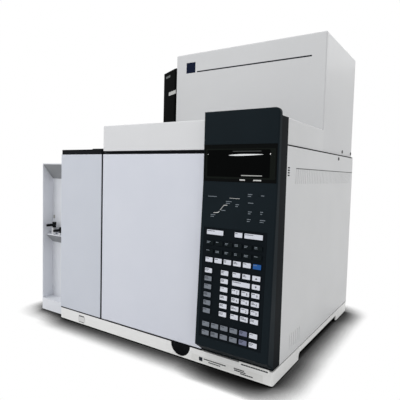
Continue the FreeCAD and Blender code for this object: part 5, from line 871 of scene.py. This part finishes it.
    def arrow(self, name: str, left: float, row: float) -> None:
        """Build the small triangle on an arrow key: rows of points that draw in towards its tip."""
        top = self.print_top
        half, tall = self.arrow_half
        point = tall if name == "key_up" else -tall
        level = np.array([top - self.print_deep, top, top])[:, None]
        size = np.array([1.0, 1.0, 0.0])[:, None]
        across = left + self.key_wide / 2 + np.array([-half, half, 0.0])[None] * size
        up = -row + self.key_high / 2 + np.array([-point, -point, point])[None] * size
        surface = Surface()
        surface.add_grid(self.leaning().place(across, up, level))
        surface.build(f"{name}_mark", INK_AND_SHADE_DARK, "black_trim", name)


@dataclass(frozen=True)
class PanelFront(PanelPart):
    """Screen, lamps, prints and painted highlights on the panel's two faces, measured from its left edge.

    Heights count from the bench on the upright face, and up from its upper edge on the leaning one.

    Attributes:
        window_set: How far the window lies behind the upright face.
        words: Each caption under the screen: left end and number of bars.
        indicators: Each indicator's caption: left end, drop from the face's upper edge, length and lines.
    """

    window_set: float = 0.3
    frame: Tile = Tile(6.0, 368.0, 140.0, 54.0, PRINT_TOP, DEEP, 2.0)
    screen: Tile = Tile(9.0, 371.0, 127.0, 49.0, 0.16, DEEP, 1.5)
    lamp: Tile = Tile(135.6, 410.5, 1.4, 3.0, 0.7, DEEP, 0.6, 0.5, 0.1)
    dot: Tile = Tile(10.4, 411.4, 1.2, 1.2, 0.5, DEEP, 0.5, 0.3, 0.1)
    # Painted highlights along the screen's lower edge and at its rim
    lower_highlight: Tile = Tile(81.2, 373.5, 40.4, 1.5, 0.3, DEEP)
    rim_highlight: Tile = Tile(63.0, 416.8, 56.0, 0.8, 0.3, DEEP)
    # Painted highlight along the screen's upper edge: its start, length, middle height and climb
    highlight_left: float = 55.0
    highlight_long: float = 68.0
    highlight_up: float = 410.2
    highlight_climb: float = 1.2
    light_top: float = 0.3
    lens_points: int = 25
    lens_least: float = 0.15
    lens_half: float = 1.5
    lens_power: float = 0.6
    lens_left: float = 1.15
    lens_fall: float = 0.55
    words: Rows = ((78.6, 5), (105.7, 7))
    word_low: float = 365.1
    word_step: float = 2.2
    word_high: float = 2.2
    word_gap: float = 0.5
    indicators: Rows = (
        (96.7, 18.1, 9.0, 2), (121.9, 19.5, 6.4, 1), (97.7, 33.2, 10.7, 1), (98.5, 48.7, 7.4, 2),
        (122.2, 47.7, 5.4, 2), (97.4, 62.2, 7.6, 2), (122.1, 61.9, 10.6, 2), (52.9, 33.0, 12.0, 2),
        (21.6, 59.0, 10.4, 2), (14.0, 25.2, 19.0, 1), (72.9, 37.6, 7.3, 2), (44.2, 49.8, 8.8, 1),
    )
    caption_high: float = 1.3
    caption_pitch: float = 3.4
    caption_step: float = 1.9
    caption_loss: float = 0.28
    indicator: Tile = Tile(0.0, 0.0, 1.8, 1.8, 0.3, SUNK, 0.8)
    lamp_before: float = 4.6
    lamp_drop: float = 2.2
    ramp_across: tuple[float, ...] = (27.6, 37.7, 49.0, 56.1)
    ramp_drop: tuple[float, ...] = (56.0, 54.9, 40.9, 40.5)
    ramp_half: tuple[float, ...] = (0.4, 0.52, 0.52, 0.4)
    rule: Tile = Tile(59.9, -27.6, 21.4, 0.5)

    def build(self) -> None:
        """Build the screen with its painted highlights, the captions, the lamps and the indicator prints."""
        glass = Plane((PANEL_LEFT, FRONT - self.face + self.window_set, 0.0))
        tiles("display_frame", glass, [self.frame], MODULE_FRAME, "display_glass")
        tiles("display_screen", glass, [self.screen], SCREEN_GLASS, "display_glass")
        self.edge_highlights(glass)
        step, look = self.word_step, (self.light_top, DEEP, self.word_gap)
        words = [
            bar for left, parts in self.words
            for bar in bars(left, self.word_low, parts * step, self.word_high, parts, *look)
        ]
        tiles("display_caption_bars", glass, words, LABEL_FILM, "key_white")
        tiles("display_lamps", glass, [self.lamp, self.dot], LENS_AND_HIGHLIGHT_CLEAR, "key_white")
        self.captions()
        self.ramp()

    def edge_highlights(self, glass: Plane) -> None:
        """Build the painted highlights along the thin edges of the screen.

        The upper one is a lens-shaped painted highlight: its half height is a sine over its length, thicker
        at the left, and its middle climbs a little to the right. The lower one and the one at the rim are
        even bars of painted highlight.
        """
        share = np.linspace(0.0, 1.0, self.lens_points)
        middle = self.highlight_up + self.highlight_climb * share
        lens = self.lens_half * np.sin(math.pi * share) ** self.lens_power
        half = self.lens_least + lens * (self.lens_left - self.lens_fall * share)
        across = self.highlight_left + self.highlight_long * share
        surface = Surface()
        surface.add_grid(ribbon(glass, across, middle - half, middle + half, self.light_top))
        surface.build("display_highlight_upper", LENS_AND_HIGHLIGHT_CLEAR, "key_white")
        tiles("display_highlight_lower", glass, [self.lower_highlight], LABEL_AND_HIGHLIGHT_GREY, "key_white")
        tiles("display_highlight_rim", glass, [self.rim_highlight], LABEL_AND_PAINTED_LIGHT_DARK, "carrier_grey")

    def captions(self) -> None:
        """Print the small captions of the indicator lamps, one or two lines each, beside their lamps."""
        lines: list[Tile] = []
        lamps: list[Tile] = []
        for left, drop, long, count in self.indicators:
            for line in range(count):
                span = long * (1.0 - self.caption_loss * line)
                low = -drop - self.caption_high - self.caption_pitch * line
                lines += bars(left, low, span, self.caption_high, max(2, int(span / self.caption_step)))
            lamps.append(replace(self.indicator, left=left - self.lamp_before, low=-drop - self.lamp_drop))
        tiles("indicator_captions", self.leaning(), lines, INK_PALE, "carrier_grey")
        tiles("indicator_lamps", self.leaning(), lamps, CAP_DARK, "black_trim")

    def ramp(self) -> None:
        """Print the plain rising line between the captions, with a level start and end, and a rule."""
        across, middle, half = np.array(self.ramp_across), -np.array(self.ramp_drop), np.array(self.ramp_half)
        surface = Surface()
        surface.add_grid(ribbon(self.leaning(), across, middle - half, middle + half, PRINT_TOP))
        surface.add_grid(self.rule.grid(self.leaning()))
        surface.build("indicator_ramp", LABEL_FILM, "carrier_grey")


# Cabinet
@dataclass(frozen=True)
class GapShades:
    """Painted shade in the narrow gaps between the panels: black strips set just behind the gaps."""

    set_back: float = 0.8
    deck_set_back: float = 1.8
    upright: Tile = Tile(-97.0, 31.0, 2.4, 383.5, 0.0, -1.0)
    sill: Tile = Tile(-239.0, 28.6, 427.0, 2.1, 0.0, -1.0)
    deck: Tile = Tile(-92.5, 415.0, 277.0, 4.0, 0.0, -1.2)
    covers: Tile = Tile(30.0, 428.9, 478.0, 2.4, 0.0, -1.0)

    def build(self) -> None:
        """Build the painted shade beside and over the door, on the sill and under the right covers."""
        front = front_plane(self.set_back)
        tiles("front_gap_shades", front, [self.upright, self.sill], PAINTED_SHADE_BLACK, "black_trim")
        tiles("deck_gap_shade", front_plane(self.deck_set_back), [self.deck], PAINTED_SHADE_BLACK, "black_trim")
        tiles("side_gap_shade", side_plane(self.set_back), [self.covers], PAINTED_SHADE_BLACK, "black_trim")


@dataclass(frozen=True)
class CabinetPrints:
    """Prints and blank label plates on base, valve oven, sampler tower and utility box, and painted shade.

    Attributes:
        plate_lines: Each line of print on the base: left end, lower edge, length, height and number of bars.
        box_front: How far the valve oven's front lies behind the door's face.
        carrier_back: The same for the back of the utility box's compartment.
        hood: Place of the hood's underside: how far behind the door's face, how high, its depth and its drop.
        shelf: The same for the shelf's underside.
    """

    base_plates: tuple[Tile, ...] = (
        Tile(165.7, 5.5, 85.9, 12.5, 0.12, SUNK, 0.8), Tile(252.4, 5.5, 68.9, 12.5, 0.12, SUNK, 0.8),
    )
    panel_plate: Tile = Tile(272.5, 22.5, 61.0, 8.4, 0.3, 0.0, 0.8)
    plate_lines: Rows = (
        (184.0, 8.1, 8.0, 7.4, 1), (195.0, 12.7, 50.0, 1.8, 12), (206.0, 8.8, 27.0, 1.6, 7),
        (262.0, 13.7, 22.0, 1.8, 5), (263.0, 10.5, 24.0, 1.8, 6), (276.0, 7.3, 26.0, 1.8, 6),
        (277.0, 25.2, 54.0, 2.4, 11),
    )
    line_top: float = 0.42
    # Painted shade in the gaps along the power button's upper and lower edges
    button_gap_shade: tuple[Tile, ...] = (Tile(-170.2, 20.4, 18.4, 2.2, 0.1), Tile(-170.2, 6.2, 18.4, 1.1, 0.1))
    box_front: float = 246.2
    square: Tile = Tile(-40.3, 643.5, 28.8, 27.5, PRINT_TOP, SUNK, 0.6)
    rule: Tile = Tile(-6.1, 643.3, 308.7, 3.2)
    tower_left: float = -238.0
    tower_front: float = 397.0
    tower_turn: float = 28.5
    upper_label: Tile = Tile(16.5, 678.0, 33.0, 6.5, 0.25, SUNK, 0.6)
    lower_label: Tile = Tile(41.0, 620.5, 53.0, 11.0, 0.25, SUNK, 0.8)
    carrier_back: float = 49.2
    carrier_left: float = -338.0
    carrier_plate: Tile = Tile(-336.0, 244.5, 7.0, 9.0, 0.4, SUNK, 0.5)
    hood: tuple[float, ...] = (18.2, 391.0, 31.0, 38.0)
    shelf: tuple[float, ...] = (28.0, 202.0, 21.2, 22.0)
    # Painted shade under the hood and shelf: its inset, width, margin and thickness
    shade_left: float = 0.5
    shade_wide: float = 95.0
    shade_margin: float = 0.8
    shade_thick: float = 0.5
    # Painted shade: black tiles in the small side vents, and a dark strip at the bottom of the crease
    vent: Tile = Tile(33.7, 375.5, 8.6, 2.4, 0.12, -0.6)
    vent_pitch: float = 4.5
    vent_count: int = 4
    crease: Tile = Tile(75.3, 389.2, 432.9, 1.3, -0.7, -1.15)

    def build(self) -> None:
        """Build every print and plate, and the painted shade."""
        base = front_plane()
        tiles("base_blank_plates", base, self.base_plates, LABEL_FILM, "base_grey")
        tiles("panel_blank_plate", base, [self.panel_plate], PLATE_WHITE, "key_white")
        lines = [bar for line in self.plate_lines for bar in bars(*line, self.line_top)]
        tiles("base_plate_lines", base, lines, INK_AND_SHADE_DARK, "black_trim")
        # Painted shade in the power button's upper and lower gaps
        tiles("power_button_gap_shade", base, self.button_gap_shade, INK_AND_SHADE_DARK, "black_trim")
        box = front_plane(self.box_front)
        tiles("valve_oven_square", box, [self.square], INK_NAVY, "panel_black")
        tiles("valve_oven_rule", box, [self.rule], INK_BLACK, "black_trim")
        self.tower_labels()
        back = front_plane(self.carrier_back)
        tiles("carrier_plate", back, [self.carrier_plate], LABEL_AND_HIGHLIGHT_GREY, "carrier_grey")
        self.underside_shade()
        self.side_shades()

    def tower_labels(self) -> None:
        """Stick two blank labels on the left slope of the tower's front."""
        turn = math.radians(self.tower_turn)
        slope = Plane(
            (self.tower_left, FRONT + self.tower_front, 0.0), across=(math.cos(turn), -math.sin(turn), 0.0),
            out=(-math.sin(turn), -math.cos(turn), 0.0),
        )
        tiles("tower_label_upper", slope, [self.upper_label], LABEL_AND_PAINTED_LIGHT_DARK, "carrier_grey", "tower_door")
        tiles("tower_label_lower", slope, [self.lower_label], LABEL_AND_HIGHLIGHT_GREY, "key_white", "tower_door")

    def underside_shade(self) -> None:
        """Paint shade on the sloping undersides of the utility box's hood and shelf with grey tiles."""
        for name, (near, high, deep, drop) in {"hood_shade": self.hood, "shelf_shade": self.shelf}.items():
            run = math.hypot(deep, drop)
            slope = Plane(
                (self.carrier_left, FRONT + near, high), up=(0.0, deep / run, -drop / run),
                out=(0.0, -drop / run, -deep / run),
            )
            long = run - 2 * self.shade_margin
            shade_tile = Tile(self.shade_left, self.shade_margin, self.shade_wide, long, self.shade_thick)
            tiles(name, slope, [shade_tile], PAINTED_SHADE_GREY, "seal_grey")

    def side_shades(self) -> None:
        """Paint shade in the small vents with black tiles, and at the bottom of the crease over the louvres.
        """
        side = side_plane()
        lows = [self.vent.low + self.vent_pitch * step for step in range(self.vent_count)]
        vent_shades = [replace(self.vent, low=low) for low in lows]
        tiles("side_vent_shade", side, vent_shades, PAINTED_SHADE_BLACK, "black_trim")
        tiles("side_crease_shade", side, [self.crease], LABEL_AND_PAINTED_LIGHT_DARK, "carrier_grey")


# Camera, lights and floor
@dataclass(frozen=True)
class Shot:
    """The camera of the photograph: angles in degrees, lens and centre in pixels of the photograph."""

    place: Triple = (608.3, -907.4, 374.1)
    yaw: float = 33.181
    pitch: float = 3.558
    roll: float = 1.488
    focal_px: float = 404.62
    centre_px: tuple[float, float] = (202.17, 199.71)
    image_px: float = 400.0
    sensor: float = 36.0
    reach: float = 50.0

    def build(self) -> None:
        """Make the camera: rolled about its own axis, tilted down by the pitch, then turned by the yaw."""
        camera = bpy.data.cameras.new("camera")
        camera.sensor_width = self.sensor
        camera.lens = self.sensor * self.focal_px / self.image_px
        camera.shift_x = (self.image_px / 2 - self.centre_px[0]) / self.image_px
        camera.shift_y = (self.centre_px[1] - self.image_px / 2) / self.image_px
        camera.clip_end = self.reach
        thing = bpy.data.objects.new("camera", camera)
        turns = ((self.yaw, "Z"), (90.0 - self.pitch, "X"), (self.roll, "Z"))
        yaw, tilt, roll = (Matrix.Rotation(math.radians(angle), 4, axis) for angle, axis in turns)
        thing.matrix_world = Matrix.Translation(Vector(self.place) * MM) @ yaw @ tilt @ roll
        bpy.context.scene.collection.objects.link(thing)
        bpy.context.scene.camera = thing


@dataclass(frozen=True)
class Studio:
    """Pale floor, soft lamps and an even pale surround."""

    floor_half: float = 12.0
    floor_grey: float = 0.8
    shadow_reach: float = 0.064
    shadow_depth: float = 5.5
    shadow_samples: int = 16
    surround: float = 0.66
    lamps: tuple[tuple[str, Triple, float, float], ...] = (
        ("key_lamp", (-1.6, -2.2, 2.6), 2.2, 44.0),
        ("side_lamp", (2.8, -0.6, 1.9), 2.0, 8.0),
        ("back_lamp", (0.2, 2.6, 2.4), 2.4, 26.0),
    )
    aim: Triple = (0.0, 0.0, 0.3)

    def build(self) -> None:
        """Build floor, world and lamps."""
        self.floor()
        self.world()
        for name, place, size, power in self.lamps:
            self.lamp(name, place, size, power)

    def floor(self) -> None:
        """Lay the floor as one flat square."""
        half = self.floor_half
        corners = [(-half, -half, 0.0), (half, -half, 0.0), (half, half, 0.0), (-half, half, 0.0)]
        mesh = bpy.data.meshes.new("floor")
        mesh.from_pydata(corners, [], [(0, 1, 2, 3)])
        thing = bpy.data.objects.new("floor", mesh)
        bpy.context.scene.collection.objects.link(thing)
        mesh.materials.append(self.floor_material())

    def floor_material(self) -> bpy.types.Material:
        """Return the floor's paint: pale, and white to the camera and to mirrors but for the shadow.

        The share of open sky over a point, taken within the shadow's reach and raised to a power, is 1 on the
        open floor and falls to black in the angle under the instrument.
        """
        material = bpy.data.materials.new("floor paint")
        material.use_nodes = True
        tree = material.node_tree
        tree.nodes.clear()
        grey = self.floor_grey
        diffuse = add_node(tree, "BsdfDiffuse", {"Color": (grey, grey, grey, 1.0)})
        reach = {"Distance": self.shadow_reach}
        sky = add_node(tree, "AmbientOcclusion", reach, samples=self.shadow_samples)
        depth = {1: self.shadow_depth}
        shadow = add_node(tree, "Math", depth, {0: sky.outputs["AO"]}, operation="POWER")
        white = add_node(tree, "Emission", None, {"Strength": shadow.outputs[0]})
        parts = {0: self.seen(tree), 1: diffuse.outputs[0], 2: white.outputs[0]}
        both = add_node(tree, "MixShader", None, parts)
        add_node(tree, "OutputMaterial", None, {"Surface": both.outputs[0]})
        return material

    def seen(self, tree: Tree) -> Socket:
        """Return 1 for what the camera, a mirror or a pane of glass looks at, and else 0."""
        path = add_node(tree, "LightPath").outputs
        seen = path["Is Glossy Ray"]
        for other in ("Is Transmission Ray", "Is Camera Ray"):
            seen = add_node(tree, "Math", None, {0: seen, 1: path[other]}, operation="MAXIMUM").outputs[0]
        return seen

    def world(self) -> None:
        """Light everything evenly, and show white to the camera, to mirrors and through glass."""
        world = bpy.data.worlds.new("surround")
        bpy.context.scene.world = world
        world.use_nodes = True
        tree = world.node_tree
        tree.nodes.clear()
        limits = {"To Min": self.surround, "To Max": 1.0}
        strength = add_node(tree, "MapRange", limits, {"Value": self.seen(tree)})
        white = {"Color": (1.0, 1.0, 1.0, 1.0)}
        light = add_node(tree, "Background", white, {"Strength": strength.outputs[0]})
        add_node(tree, "OutputWorld", None, {"Surface": light.outputs[0]})

    def lamp(self, name: str, place: Triple, size: float, power: float) -> None:
        """Hang one square soft lamp that looks at the instrument."""
        data = bpy.data.lights.new(name, "AREA")
        data.size = size
        data.energy = power
        thing = bpy.data.objects.new(name, data)
        thing.location = place
        direction = Vector(self.aim) - Vector(place)
        thing.rotation_euler = direction.to_track_quat("-Z", "Y").to_euler()
        bpy.context.scene.collection.objects.link(thing)


def dress_nodes(nodes: dict[str, bpy.types.Object]) -> None:
    """Give every carried-over node its finish."""
    for name, thing in nodes.items():
        material = NODE_FINISHES[name].material()
        if not thing.material_slots:
            thing.data.materials.append(material)
        for place in thing.material_slots:
            place.material = material


def main() -> None:
    """Load the frame, dress it, and set camera, lights and floor."""
    logging.basicConfig(level=logging.INFO, format="%(name)s: %(message)s")
    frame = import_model()
    dress_nodes(frame["nodes"])
    Keypad().build()
    PanelFront().build()
    GapShades().build()
    CabinetPrints().build()
    Shot().build()
    Studio().build()
    bpy.context.scene.view_settings.view_transform = "Standard"


if __name__ == "__main__":
    main()
